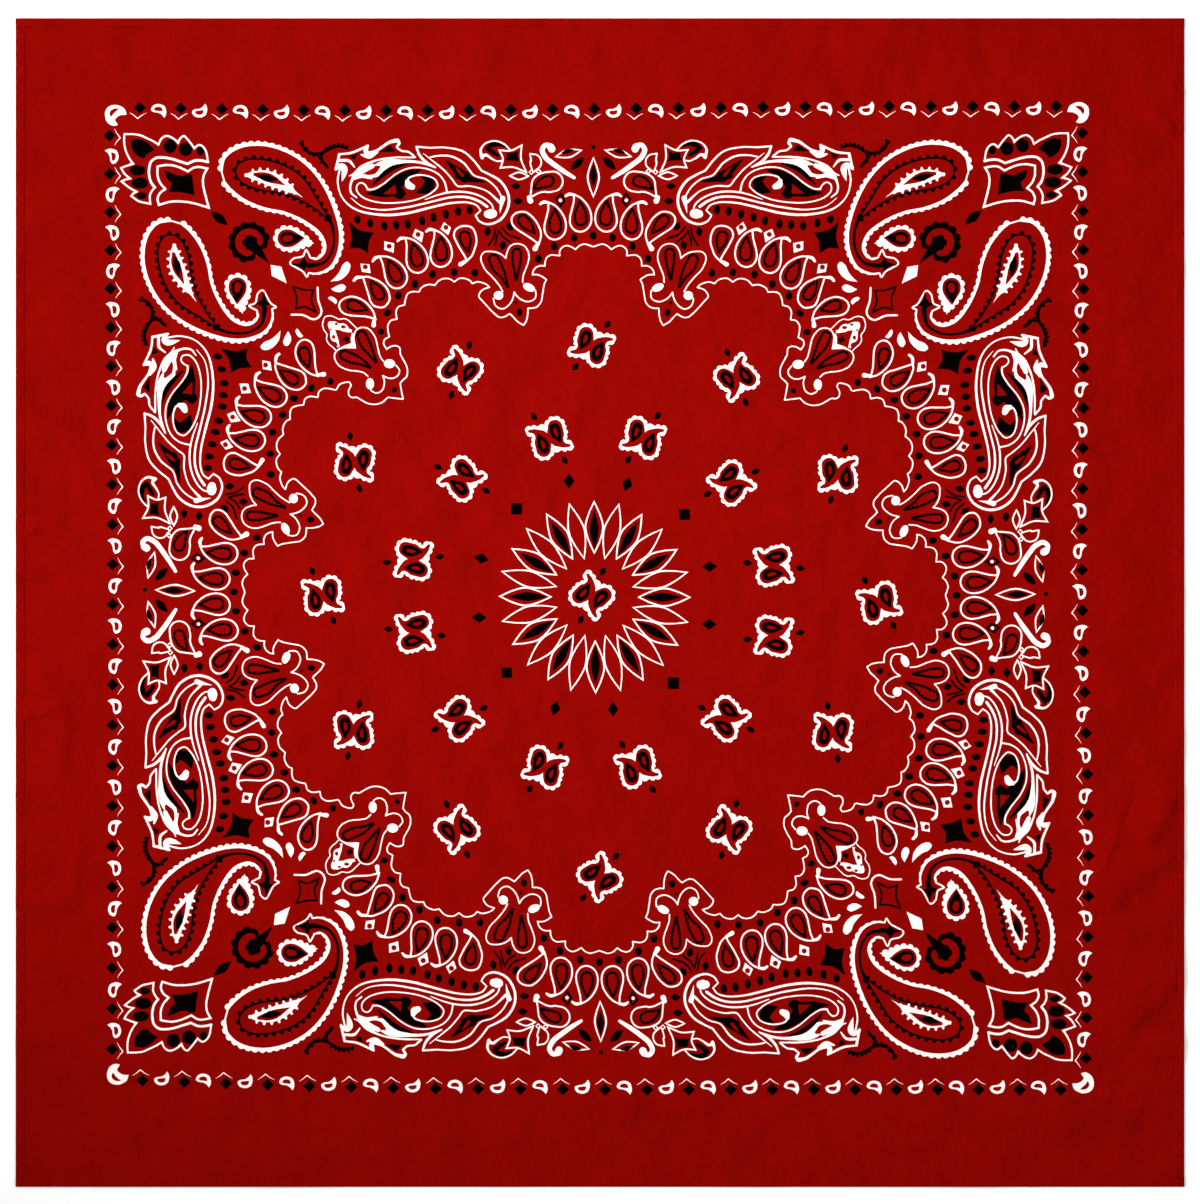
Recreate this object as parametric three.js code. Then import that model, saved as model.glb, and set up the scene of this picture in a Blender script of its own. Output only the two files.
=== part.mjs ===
// A square cotton bandana laid flat, printed face up, with its top edge towards +Y.
// One woven panel is framed by four narrow hems, and a few soft folds run in from the edges.
// Lengths are in millimetres. The origin is the middle of the underside, and +Z points up.
import * as THREE from "three";
import { mergeVertices } from "three/addons/utils/BufferGeometryUtils.js";

// Driving sizes
const clothSide = 559; // a 22 inch square, measured over the hems
const clothThickness = 1.0; // the wall of a single layer
const hemWidth = 3.8;
const hemRise = 0.8; // how far a hem's doubled layers stand above the panel
const seamGap = 0.3; // between the panel and a hem, and between two hems
const clothColor = 0xa30804;
const hemColor = 0x980703;
const clothRoughness = 0.92;

// The panel's mesh is fine near the edges, where the folds are, and coarse in the flat middle
const fineBand = 96;
const fineCells = 15;
const coarseCells = 14;
const hemCells = 48;

const halfSide = clothSide / 2;
const panelHalf = halfSide - hemWidth - seamGap;

// Soft folds: each row is one crest, from its start at an edge to its inner end,
// with its half width, height and sideways bow
const folds = [
  { fromX: 279, fromY: -66, toX: 246, toY: -118, halfWidth: 8, height: 1.6, bow: 5 },
  { fromX: 262, fromY: -72, toX: 233, toY: -126, halfWidth: 7, height: 1.3, bow: 4 },
  { fromX: 280, fromY: -104, toX: 232, toY: -150, halfWidth: 9, height: 1.9, bow: 6 },
  { fromX: 280, fromY: -134, toX: 226, toY: -168, halfWidth: 10, height: 1.5, bow: -5 },
  { fromX: 280, fromY: -170, toX: 236, toY: -204, halfWidth: 9, height: 1.4, bow: 4 },
  { fromX: 280, fromY: -212, toX: 238, toY: -220, halfWidth: 6, height: 0.9, bow: 1 },
  { fromX: 280, fromY: 231, toX: 250, toY: 248, halfWidth: 6, height: 0.8, bow: 2 },
  { fromX: 280, fromY: 160, toX: 236, toY: 182, halfWidth: 8, height: 0.7, bow: -3 },
  { fromX: 280, fromY: 2, toX: 244, toY: 8, halfWidth: 6, height: 0.7, bow: 1 },
  { fromX: -280, fromY: 38, toX: -248, toY: 33, halfWidth: 6, height: 0.9, bow: 1 },
  { fromX: -280, fromY: 9, toX: -256, toY: 14, halfWidth: 5, height: 0.8, bow: 0 },
  { fromX: -280, fromY: -10, toX: -252, toY: -8, halfWidth: 5, height: 0.7, bow: 1 },
  { fromX: -280, fromY: -58, toX: -240, toY: -46, halfWidth: 7, height: 1.1, bow: 2 },
  { fromX: -280, fromY: -98, toX: -232, toY: -112, halfWidth: 9, height: 0.9, bow: 3 },
  { fromX: -280, fromY: -144, toX: -226, toY: -146, halfWidth: 6, height: 0.9, bow: -1 },
  { fromX: -280, fromY: -214, toX: -236, toY: -196, halfWidth: 11, height: 1.0, bow: 3 },
  { fromX: -152, fromY: -280, toX: -118, toY: -243, halfWidth: 12, height: 1.0, bow: 6 },
  { fromX: -48, fromY: -280, toX: -20, toY: -246, halfWidth: 13, height: 0.9, bow: -5 },
  { fromX: 66, fromY: -280, toX: 96, toY: -240, halfWidth: 12, height: 1.1, bow: 6 },
  { fromX: 176, fromY: -280, toX: 196, toY: -236, halfWidth: 11, height: 0.9, bow: 5 },
  { fromX: 206, fromY: 280, toX: 222, toY: 246, halfWidth: 9, height: 0.7, bow: 3 },
];

// Broad, very low swells: a middle, a radius and a height each
const swells = [
  { x: 150, y: -258, radius: 60, height: 0.5 },
  { x: -200, y: -250, radius: 70, height: 0.45 },
  { x: 255, y: -20, radius: 55, height: 0.4 },
  { x: -258, y: 110, radius: 60, height: 0.35 },
  { x: 90, y: 110, radius: 90, height: 0.3 },
  { x: -70, y: -90, radius: 100, height: 0.3 },
];

// One crest's height at a point: rounded across, and fading towards its inner end
function foldHeight(fold, x, y) {
  const alongX = fold.toX - fold.fromX;
  const alongY = fold.toY - fold.fromY;
  const length = Math.hypot(alongX, alongY);
  const t = ((x - fold.fromX) * alongX + (y - fold.fromY) * alongY) / length ** 2;
  const side = ((x - fold.fromX) * alongY - (y - fold.fromY) * alongX) / length;
  const within = THREE.MathUtils.clamp(t, 0, 1);
  const offset = side - fold.bow * 4 * within * (1 - within);
  const beyond = (t - within) * length;
  const across = Math.exp(-(offset ** 2 + beyond ** 2) / fold.halfWidth ** 2);
  const fade = 1 - THREE.MathUtils.smoothstep(t, 0.45, 1.15);
  return fold.height * across * fade;
}

function swellHeight(swell, x, y) {
  const distance = Math.hypot(x - swell.x, y - swell.y) / swell.radius;
  return swell.height * Math.exp(-(distance ** 2));
}

// Height of the cloth's upper face above the surface that it lies on
function topHeight(x, y) {
  let height = clothThickness;
  for (const swell of swells) height += swellHeight(swell, x, y);
  for (const fold of folds) height += foldHeight(fold, x, y);
  return height;
}

// Grid lines across the panel from edge to edge
function gridLines() {
  const lines = [];
  const coarseHalf = panelHalf - fineBand;
  for (let i = 0; i < fineCells; i++) lines.push(-panelHalf + (fineBand * i) / fineCells);
  for (let i = 0; i < coarseCells; i++) lines.push(-coarseHalf + (2 * coarseHalf * i) / coarseCells);
  for (let i = 0; i <= fineCells; i++) lines.push(coarseHalf + (fineBand * i) / fineCells);
  return lines;
}

// A closed solid from its points and triangles
function solidOf(points, triangles) {
  const geometry = new THREE.BufferGeometry();
  geometry.setAttribute("position", new THREE.Float32BufferAttribute(points.flat(), 3));
  geometry.setIndex(triangles);
  const merged = mergeVertices(geometry, 1e-4);
  merged.computeVertexNormals();
  return merged;
}

// The panel: a waved upper face over a flat underside
function panelGeometry() {
  const lines = gridLines();
  const count = lines.length;
  const last = count - 1;
  const points = [];
  const triangles = [];
  for (const y of lines) for (const x of lines) points.push([x, y, topHeight(x, y)]);
  for (let row = 0; row < last; row++) {
    for (let column = 0; column < last; column++) {
      const corner = row * count + column;
      triangles.push(corner, corner + 1, corner + count + 1);
      triangles.push(corner, corner + count + 1, corner + count);
    }
  }
  // Once round the rim, seen from above and turning left
  const rim = [];
  for (let i = 0; i < last; i++) rim.push(i);
  for (let i = 0; i < last; i++) rim.push(i * count + last);
  for (let i = last; i > 0; i--) rim.push(last * count + i);
  for (let i = last; i > 0; i--) rim.push(i * count);
  const foot = points.length;
  for (const top of rim) points.push([points[top][0], points[top][1], 0]);
  const middle = points.length;
  points.push([0, 0, 0]);
  rim.forEach((top, i) => {
    const next = (i + 1) % rim.length;
    triangles.push(top, foot + i, foot + next);
    triangles.push(top, foot + next, rim[next]);
    triangles.push(foot + next, foot + i, middle);
  });
  return solidOf(points, triangles);
}

// A hem's section across its width: s runs outwards from the panel, z is a share of its height
const hemSection = [
  { s: 0, z: 0 },
  { s: 0.9, z: 0 },
  { s: 1, z: 0.45 },
  { s: 0.86, z: 0.9 },
  { s: 0.45, z: 1 },
  { s: 0, z: 0.72 },
];

// A hem along one edge: along and outward are unit directions, and half is half its length
function hemGeometry(along, outward, half) {
  const points = [];
  const triangles = [];
  const width = hemSection.length;
  const inner = halfSide - hemWidth;
  for (let i = 0; i <= hemCells; i++) {
    const reach = -half + (2 * half * i) / hemCells;
    for (const { s, z } of hemSection) {
      const out = inner + s * hemWidth;
      const x = along.x * reach + outward.x * out;
      const y = along.y * reach + outward.y * out;
      const crestX = along.x * reach + outward.x * (inner + hemWidth / 2);
      const crestY = along.y * reach + outward.y * (inner + hemWidth / 2);
      points.push([x, y, z * (topHeight(crestX, crestY) + hemRise)]);
    }
  }
  for (let i = 0; i < hemCells; i++) {
    for (let j = 0; j < width; j++) {
      const next = (j + 1) % width;
      const a = i * width + j;
      const b = i * width + next;
      triangles.push(a, b, b + width);
      triangles.push(a, b + width, a + width);
    }
  }
  const end = hemCells * width;
  for (let j = 1; j < width - 1; j++) {
    triangles.push(0, j + 1, j);
    triangles.push(end, end + j, end + j + 1);
  }
  return solidOf(points, triangles);
}

function clothMaterial(color) {
  return new THREE.MeshStandardMaterial({ color, roughness: clothRoughness, metalness: 0 });
}

function namedMesh(name, geometry, material) {
  const mesh = new THREE.Mesh(geometry, material);
  mesh.name = name;
  return mesh;
}

const bandana = new THREE.Group();
bandana.name = "bandana";
bandana.add(namedMesh("cloth_panel", panelGeometry(), clothMaterial(clothColor)));

// The top and bottom hems run the full width, and the side hems end between them
const sideHemHalf = halfSide - hemWidth - seamGap;
const hems = [
  { name: "hem_top", turn: 0, half: halfSide },
  { name: "hem_left", turn: 1, half: sideHemHalf },
  { name: "hem_bottom", turn: 2, half: halfSide },
  { name: "hem_right", turn: 3, half: sideHemHalf },
];
for (const { name, turn, half } of hems) {
  const angle = (turn * Math.PI) / 2;
  const outward = new THREE.Vector2(-Math.round(Math.sin(angle)), Math.round(Math.cos(angle)));
  const along = new THREE.Vector2(outward.y, -outward.x);
  bandana.add(namedMesh(name, hemGeometry(along, outward, half), clothMaterial(hemColor)));
}

export default bandana;
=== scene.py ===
import cmath
import math

import bpy
import numpy as np
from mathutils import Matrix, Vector
from mathutils.geometry import delaunay_2d_cdt


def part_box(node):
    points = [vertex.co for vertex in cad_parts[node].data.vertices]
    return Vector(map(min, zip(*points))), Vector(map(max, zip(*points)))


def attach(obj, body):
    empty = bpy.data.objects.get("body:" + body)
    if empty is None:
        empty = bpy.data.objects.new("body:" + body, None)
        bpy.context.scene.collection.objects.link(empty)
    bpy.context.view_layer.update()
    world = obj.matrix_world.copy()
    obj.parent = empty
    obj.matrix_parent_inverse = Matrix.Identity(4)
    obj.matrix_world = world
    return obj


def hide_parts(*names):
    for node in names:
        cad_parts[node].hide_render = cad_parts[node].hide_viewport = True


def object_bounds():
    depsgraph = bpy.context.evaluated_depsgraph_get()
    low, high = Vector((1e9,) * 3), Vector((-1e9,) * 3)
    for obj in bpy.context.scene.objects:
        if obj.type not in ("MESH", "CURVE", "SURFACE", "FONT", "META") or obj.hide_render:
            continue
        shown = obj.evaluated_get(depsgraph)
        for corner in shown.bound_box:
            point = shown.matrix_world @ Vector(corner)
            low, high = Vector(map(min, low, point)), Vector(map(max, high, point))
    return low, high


# A square cotton bandana laid flat with its printed face up. The origin is the middle of the
# underside and the top edge lies towards +Y. Lengths are in millimetres until a mesh is made.
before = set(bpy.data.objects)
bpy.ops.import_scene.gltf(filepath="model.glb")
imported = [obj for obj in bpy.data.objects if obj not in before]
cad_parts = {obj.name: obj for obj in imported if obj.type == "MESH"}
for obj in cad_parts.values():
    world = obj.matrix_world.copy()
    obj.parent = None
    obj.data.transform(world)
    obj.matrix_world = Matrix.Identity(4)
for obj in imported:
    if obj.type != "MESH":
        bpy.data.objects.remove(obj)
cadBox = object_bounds()
mm = 0.001
print("frame loaded:", ", ".join(sorted(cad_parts)))

panelLow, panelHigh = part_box("cloth_panel")
cloth = {
    "side": (cadBox[1][0] - cadBox[0][0]) / mm,
    "panelHalf": panelHigh.x / mm,
    "thickness": 0.5,
    "gridStep": 1.5,  # between mesh points beside a crease; twice as far along the edges
    "edgeBand": 66.0,
    "creaseBand": 7.0,  # how far from a crease the mesh stays fine
    "undersideStep": 14.0,
    "thinning": 0.055,  # how far an outline may be simplified
}
groundInk, whiteInk, blackInk = 0, 1, 2

# Soft folds: each row is one crest, from its start at an edge to its inner end
foldColumns = ("fromX", "fromY", "toX", "toY", "halfWidth", "height", "bow")
folds = [
    (279, -66, 246, -118, 8, 1.6, 5),
    (262, -72, 233, -126, 7, 1.3, 4),
    (280, -104, 232, -150, 9, 1.9, 6),
    (280, -134, 226, -168, 10, 1.5, -5),
    (280, -170, 236, -204, 9, 1.4, 4),
    (280, -212, 238, -220, 6, 0.9, 1),
    (280, 231, 250, 248, 6, 0.8, 2),
    (280, 160, 236, 182, 8, 0.7, -3),
    (280, 2, 244, 8, 6, 0.7, 1),
    (-280, 38, -248, 33, 6, 0.9, 1),
    (-280, 9, -256, 14, 5, 0.8, 0),
    (-280, -10, -252, -8, 5, 0.7, 1),
    (-280, -58, -240, -46, 7, 1.1, 2),
    (-280, -98, -232, -112, 9, 0.9, 3),
    (-280, -144, -226, -146, 6, 0.9, -1),
    (-280, -214, -236, -196, 11, 1.0, 3),
    (-152, -280, -118, -243, 12, 1.0, 6),
    (-48, -280, -20, -246, 13, 0.9, -5),
    (66, -280, 96, -240, 12, 1.1, 6),
    (176, -280, 196, -236, 11, 0.9, 5),
    (206, 280, 222, 246, 9, 0.7, 3),
]

foldShare = 0.45  # the creases below make up the rest of each fold

# Creases: each row is the shaded side of one, which lies to the right of its direction. The cloth
# rises gently on the left and falls steeply on the right.
creaseColumns = ("fromX", "fromY", "toX", "toY", "gentle", "steep", "height", "bow")
creases = [
    (239, -133, 254.5, -89, 9, 2.8, 1.7, 1.5),
    (261, -119, 279, -89, 10, 4.2, 2.1, 1.0),
    (241, -152, 281, -121, 13, 5.6, 2.4, -2.0),
    (254, -206, 280, -179, 12, 5.4, 2.0, 1.0),
    (246, -212.5, 284, -212, 6, 1.8, 0.9, 0.5),
    (252, -219, 284, -217.5, 5, 1.6, 0.7, 0.3),
    (277, 226.5, 262.5, 238, 5, 1.9, 1.1, 0.4),
    (279.5, 243.5, 272, 249.5, 4, 1.5, 0.8, 0.0),
    (281, 160.5, 255, 169, 6, 2.2, 0.6, 0.5),
    (-283, 34.2, -267, 33.2, 4, 1.4, 1.3, 0.2),
    (-283, 11.2, -266, 10.4, 4, 1.4, 1.4, -0.3),
    (-283, -9, -269, -9.6, 4, 1.4, 0.9, 0.2),
    (-283, -22.4, -270, -23, 4, 1.3, 0.8, 0.0),
    (-283, -59, -250, -47, 7, 2.8, 1.5, 1.4),
    (-283, -91.5, -264, -102.5, 6, 2.0, 1.1, 0.6),
    (-283, -129, -262, -129.6, 5, 1.7, 0.9, 0.2),
    (-283, -144.2, -250, -148.2, 6, 2.2, 1.2, -0.5),
    (-283, -212.4, -254, -211, 6, 2.0, 0.9, 0.3),
    (-255.5, -84, -254.5, -49, 7, 3.4, 1.3, 0.6),
    (-249, -144, -246.5, -112, 8, 3.8, 1.3, -0.8),
    (-172, -252, -104, -259, 12, 6.0, 1.5, -3.0),
    (-88, -256, -24, -259, 12, 5.5, 1.3, 3.5),
    (-16, -243, 50, -247, 12, 6.0, 1.5, -3.5),
    (112, -258, 168, -262, 11, 5.6, 1.3, 2.5),
    (186, -248, 238, -256, 12, 5.6, 1.4, -2.0),
    (-240, -262, -196, -240, 9, 4.2, 0.8, 2.0),
    (66, -266, 92, -240, 8, 3.8, 0.7, -1.5),
    (246, -262, 262, -238, 8, 3.6, 0.7, 1.0),
]

# Broad, very low swells
swellColumns = ("x", "y", "radius", "height")
swells = [
    (150, -258, 60, 0.5),
    (-200, -250, 70, 0.45),
    (255, -20, 55, 0.4),
    (-258, 110, 60, 0.35),
    (90, 110, 90, 0.3),
    (-70, -90, 100, 0.3),
]


def smoothStep(t):
    t = np.clip(t, 0, 1)
    return t * t * (3 - 2 * t)


def linePlace(line, x, y):
    # share of the way along a bowed line, the distance to its right, and the line's length
    alongX = line["toX"] - line["fromX"]
    alongY = line["toY"] - line["fromY"]
    length = math.hypot(alongX, alongY)
    t = ((x - line["fromX"]) * alongX + (y - line["fromY"]) * alongY) / length**2
    side = ((x - line["fromX"]) * alongY - (y - line["fromY"]) * alongX) / length
    within = np.clip(t, 0, 1)
    return t, side - line["bow"] * 4 * within * (1 - within), length


foldFade = {"start": 0.45, "length": 0.7}
creaseFade = {"reach": 0.15, "length": 0.45, "crestShift": 0.7}


def foldHeight(row, x, y):
    fold = dict(zip(foldColumns, row))
    t, offset, length = linePlace(fold, x, y)
    beyond = (t - np.clip(t, 0, 1)) * length
    across = np.exp(-(offset**2 + beyond**2) / fold["halfWidth"] ** 2)
    return fold["height"] * across * (1 - smoothStep((t - foldFade["start"]) / foldFade["length"]))


def creaseHeight(row, x, y):
    crease = dict(zip(creaseColumns, row))
    t, side, _ = linePlace(crease, x, y)
    fromCrest = side + creaseFade["crestShift"] * crease["steep"]
    width = np.where(fromCrest > 0, crease["steep"], crease["gentle"])
    ends = [t + creaseFade["reach"], 1 + creaseFade["reach"] - t]
    fade = smoothStep(ends[0] / creaseFade["length"]) * smoothStep(ends[1] / creaseFade["length"])
    return crease["height"] * np.exp(-((fromCrest / width) ** 2)) * fade


def nearCrease(x, y):
    near = np.zeros(np.shape(x), bool)
    for row in creases:
        t, side, _ = linePlace(dict(zip(creaseColumns, row)), x, y)
        reach = creaseFade["reach"]
        near |= (t > -reach) & (t < 1 + reach) & (abs(side) < cloth["creaseBand"])
    return near


def swellHeight(row, x, y):
    swell = dict(zip(swellColumns, row))
    distance = np.hypot(x - swell["x"], y - swell["y"]) / swell["radius"]
    return swell["height"] * np.exp(-(distance**2))


def topHeight(x, y):
    height = np.full(np.shape(x), cloth["thickness"], float)
    for row in swells:
        height = height + swellHeight(row, x, y)
    for row in folds:
        height = height + foldShare * foldHeight(row, x, y)
    for row in creases:
        height = height + creaseHeight(row, x, y)
    return height


def undersideHeight(x, y):
    return np.maximum(topHeight(x, y) - cloth["thickness"], 0)


def slopeNormals(x, y):
    reach = 0.4
    across = (topHeight(x + reach, y) - topHeight(x - reach, y)) / (2 * reach)
    along = (topHeight(x, y + reach) - topHeight(x, y - reach)) / (2 * reach)
    normal = np.stack([-across, -along, np.ones(np.shape(x))], axis=-1)
    return normal / np.linalg.norm(normal, axis=-1, keepdims=True)


# The print: flat marks in millimetres about its middle, as complex numbers, x + y j
printMiddle = complex(-1.7, 2.8)
printReach = 230.8  # from its middle to the line of border drops

# The printed square is pulled a little out of true: offsets in x and y, rows from the top
skew = [
    [(0.6, -0.4), (-1.4, -1.1), (-0.4, 0.6)],
    [(0.1, 3.8), (-0.8, -0.2), (-1.0, 1.6)],
    [(1.4, 1.9), (2.5, -2.2), (2.2, -2.1)],
]


def skewAt(p):
    u = np.real(p) / printReach
    v = np.imag(p) / printReach
    columns = [u * (u - 1) / 2, 1 - u * u, u * (u + 1) / 2]
    rows = [v * (v + 1) / 2, 1 - v * v, v * (v - 1) / 2]
    return sum(rows[r] * columns[c] * complex(*skew[r][c]) for r in range(3) for c in range(3))


def spots(*pairs):
    return [complex(x, y) for x, y in pairs]


# A smooth line through a few points
def smooth(points, step=0.7):
    pts = [complex(p) for p in points]
    n = len(pts)
    if n == 2:
        count = max(2, int(abs(pts[1] - pts[0]) / step) + 1)
        return np.array([pts[0] + (pts[1] - pts[0]) * i / (count - 1) for i in range(count)])
    out = []
    for i in range(n - 1):
        p1, p2 = pts[i], pts[i + 1]
        p0 = pts[i - 1] if i > 0 else 2 * p1 - p2
        p3 = pts[i + 2] if i < n - 2 else 2 * p2 - p1
        # centripetal knots keep tight turns clean
        k1 = max(abs(p1 - p0), 1e-6) ** 0.5
        k2 = k1 + max(abs(p2 - p1), 1e-6) ** 0.5
        k3 = k2 + max(abs(p3 - p2), 1e-6) ** 0.5
        count = max(1, int(round(abs(p2 - p1) / step)))
        for j in range(count):
            t = k1 + (k2 - k1) * j / count
            a1 = (k1 - t) / k1 * p0 + t / k1 * p1
            a2 = (k2 - t) / (k2 - k1) * p1 + (t - k1) / (k2 - k1) * p2
            a3 = (k3 - t) / (k3 - k2) * p2 + (t - k2) / (k3 - k2) * p3
            b1 = (k2 - t) / k2 * a1 + t / k2 * a2
            b2 = (k3 - t) / (k3 - k1) * a2 + (t - k1) / (k3 - k1) * a3
            out.append((k2 - t) / (k2 - k1) * b1 + (t - k1) / (k2 - k1) * b2)
    return np.array([*out, pts[-1]])


# Closed outline from smooth runs that meet at sharp corners
def cornered(*runs, step=0.7):
    out = []
    for run in runs:
        out.extend(smooth(run, step=step)[:-1])
    return np.array(out)


def leftTurning(poly):
    twiceArea = np.sum(np.imag(np.conj(poly) * np.roll(poly, -1)))
    return poly if twiceArea > 0 else poly[::-1]


def unit(ways):
    return ways / np.maximum(abs(ways), 1e-9)


# Distance run at each point of a line
def runOf(line):
    return np.concatenate([[0], np.cumsum(abs(np.diff(line)))])


# The outward way at each point of a left-turning outline, and the way to the next point
def outwardWays(poly):
    before = unit(poly - np.roll(poly, 1))
    after = unit(np.roll(poly, -1) - poly)
    return unit(before + after) * -1j, after


# Move an outline outwards
def offset(poly, grow):
    poly = leftTurning(poly)
    outward, after = outwardWays(poly)
    spread = np.clip(np.real(outward * 1j * np.conj(after)), 0.5, 1)
    return poly + outward * grow / spread


bluntFrom = 0.12  # a narrower end of a stroke stays pointed


# A brush stroke: half widths are spread evenly along the path's length; blunt ends are rounded
def ribbon(path, halves, step=0.7):
    line = smooth(path, step=step)
    run = runOf(line)
    t = run / run[-1]
    half = np.interp(t, [0, 1], halves) if len(halves) == 2 else np.clip(spread(t, halves), 0, None)
    way = unit(np.gradient(line))
    left = line + 1j * way * half
    right = line - 1j * way * half
    return leftTurning(np.concatenate(
        [left, roundCap(line[-1], way[-1], half[-1]), right[::-1], roundCap(line[0], -way[0], half[0])]
    ))


def roundCap(at, way, radius):
    if radius <= bluntFrom:
        return []
    count = max(2, int(round(math.pi * radius / 0.6)))
    return [at + way * 1j * radius * cmath.exp(-1j * math.pi * (i + 1) / (count + 1)) for i in range(count)]


# Smooth in-between values at places from 0 to 1
def spread(t, values):
    n = len(values) - 1
    pos = np.clip(t * n, 0, n - 1e-9)
    i = pos.astype(int)
    f = pos - i
    v = np.array(values)
    ext = np.concatenate([[2 * v[0] - v[1]], v, [2 * v[-1] - v[-2]]])
    p0, p1, p2, p3 = ext[i], ext[i + 1], ext[i + 2], ext[i + 3]
    return p1 + 0.5 * f * (p2 - p0 + f * (2 * p0 - 5 * p1 + 4 * p2 - p3 + f * (3 * (p1 - p2) + p3 - p0)))


def disc(centre, radius, count=0):
    count = count or max(8, int(round(2 * math.pi * radius / 0.7)))
    return np.array([centre + radius * cmath.exp(2j * math.pi * i / count) for i in range(count)])


# Pointed at both ends
def almond(a, b, width, bow=0.0):
    mid = (a + b) / 2 + (b - a) / abs(b - a) * 1j * bow
    return ribbon([a, mid, b], [0, width * 0.33, width * 0.5, width * 0.33, 0])


def facet(*pairs):
    return leftTurning(np.array(spots(*pairs)))


def star(corners, pinch, step=0.9):
    middle = sum(corners) / len(corners)
    runs = []
    for i, a in enumerate(corners):
        b = corners[(i + 1) % len(corners)]
        runs.append([a, (a + b) / 2 + (middle - (a + b) / 2) * pinch, b])
    return leftTurning(cornered(*runs, step=step))


# Points at shares of the way round an outline, moved outwards by their own distances
def bumped(poly, shares, grow):
    ring = np.append(poly, poly[0])
    run = runOf(ring)
    at = shares * run[-1]
    fine = np.interp(at, run, np.real(ring)) + 1j * np.interp(at, run, np.imag(ring))
    return fine + outwardWays(fine)[0] * grow


def pitchCount(poly, pitch):
    return max(3, int(round(runOf(np.append(poly, poly[0]))[-1] / pitch)))


# An outline with rounded bumps of even pitch
def frill(poly, pitch, depth, base=0.0, sharp=0.5):
    poly = leftTurning(poly)
    count = pitchCount(poly, pitch)
    shares = np.linspace(0, 1, count * 5, endpoint=False)
    bump = np.abs(np.sin(math.pi * (shares * count % 1))) ** sharp
    return bumped(poly, shares, base + depth * bump)


# An outline with separate rounded teeth; fill is a tooth's share of the pitch
def teeth(poly, pitch, depth, base=0.0, fill=0.6):
    poly = leftTurning(poly)
    count = pitchCount(poly, pitch)
    marks = np.array([0, 0.5 - fill / 2, 0.5 - fill / 4, 0.5, 0.5 + fill / 4, 0.5 + fill / 2])
    rise = np.tile([0, 0, 0.85, 1, 0.85, 0], count)
    shares = (np.arange(count)[:, None] + marks[None, :]).ravel() / count
    return bumped(poly, shares, base + depth * rise)


# Black outline of a seed, its inner edge finely toothed
def toothedRing(seed, stroke=1.15, pitch=2.0):
    return [(blackInk, offset(seed, stroke / 2)), (groundInk, teeth(seed, pitch, -0.45, -stroke * 0.35,
        0.55))]


def almondRing(a, b, width, stroke=0.95):
    way = (b - a) / abs(b - a)
    inner = almond(a + way * stroke * 1.9, b - way * stroke * 1.9, width - stroke)
    return [(whiteInk, almond(a, b, width + stroke)), (groundInk, inner)]


def outlined(poly, width, ink=whiteInk):
    return [(ink, offset(poly, width / 2)), (groundInk, offset(poly, -width / 2))]


# A closed outline, sharp at the points numbered in corners and smooth between them
def cusped(points, corners, step=0.7):
    count = len(points)
    out = []
    for start, end in zip(corners, [*corners[1:], corners[0] + count]):
        out.extend(smooth([points[i % count] for i in range(start, end + 1)], step=step)[:-1])
    return leftTurning(np.array(out))


# An even white line, sharp at the points numbered in corners
def whiteLine(points, corners=(), half=0.48):
    stops = [0, *corners, len(points) - 1]
    runs = [points[a:b + 1] for a, b in zip(stops[:-1], stops[1:])]
    return [(whiteInk, ribbon(run, [half, half], step=0.8)) for run in runs]


def oval(at, wide, tall, turn=0):
    ring = np.exp(2j * math.pi * np.arange(12) / 12)
    return at + (wide * ring.real + 1j * tall * ring.imag) * cmath.exp(1j * math.radians(turn))


# One stroke, patch or row of ovals from plain pairs of coordinates
def stroke(ink, halves, *pairs):
    return [(ink, ribbon(spots(*pairs), halves))]


def patch(ink, corners, *pairs):
    return [(ink, cusped(spots(*pairs), corners))]


def ovals(ink, *rows):
    return [(ink, oval(complex(x, y), *shape)) for x, y, *shape in rows]


def strokes(*rows):
    return [(ink, ribbon(spots(*pairs), halves)) for ink, halves, *pairs in rows]


def moved(items, turn=0, to=0, mirror=False):
    spin = cmath.exp(1j * math.radians(turn))
    out = []
    for ink, poly in items:
        p = np.conj(poly)[::-1] if mirror else poly
        out.append((ink, p * spin + to))
    return out


diamond = np.array([1, 1j, -1, -1j])


def fourfold(items):
    return [mark for quarter in range(4) for mark in moved(items, turn=90 * quarter)]


def eightfold(items):
    return fourfold(items + moved(items, mirror=True))


def cornerCurl():
    body = spots((-224.6, 230.9), (-225.5, 233.3), (-227.4, 234.7), (-229.8, 235.4), (-232.7, 234.9),
        (-234.6, 233.3), (-235.3, 230.9), (-234.8, 228), (-233.2, 225.9), (-230.8, 225),
        (-228.6, 225.6), (-230.1, 228), (-229.3, 229.2), (-227.4, 230.2), (-224.6, 230.4))
    slit = spots((-228.4, 233.3), (-230.3, 233.5), (-232.2, 232.6), (-232.9, 230.9), (-232.2, 229.4),
        (-231, 231.1), (-229.3, 232.6))
    return [
        (whiteInk, cusped(body, [0, 10, 14], step=0.6)),
        (groundInk, cusped(slit, [0, 4], step=0.6)),
    ]


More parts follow.
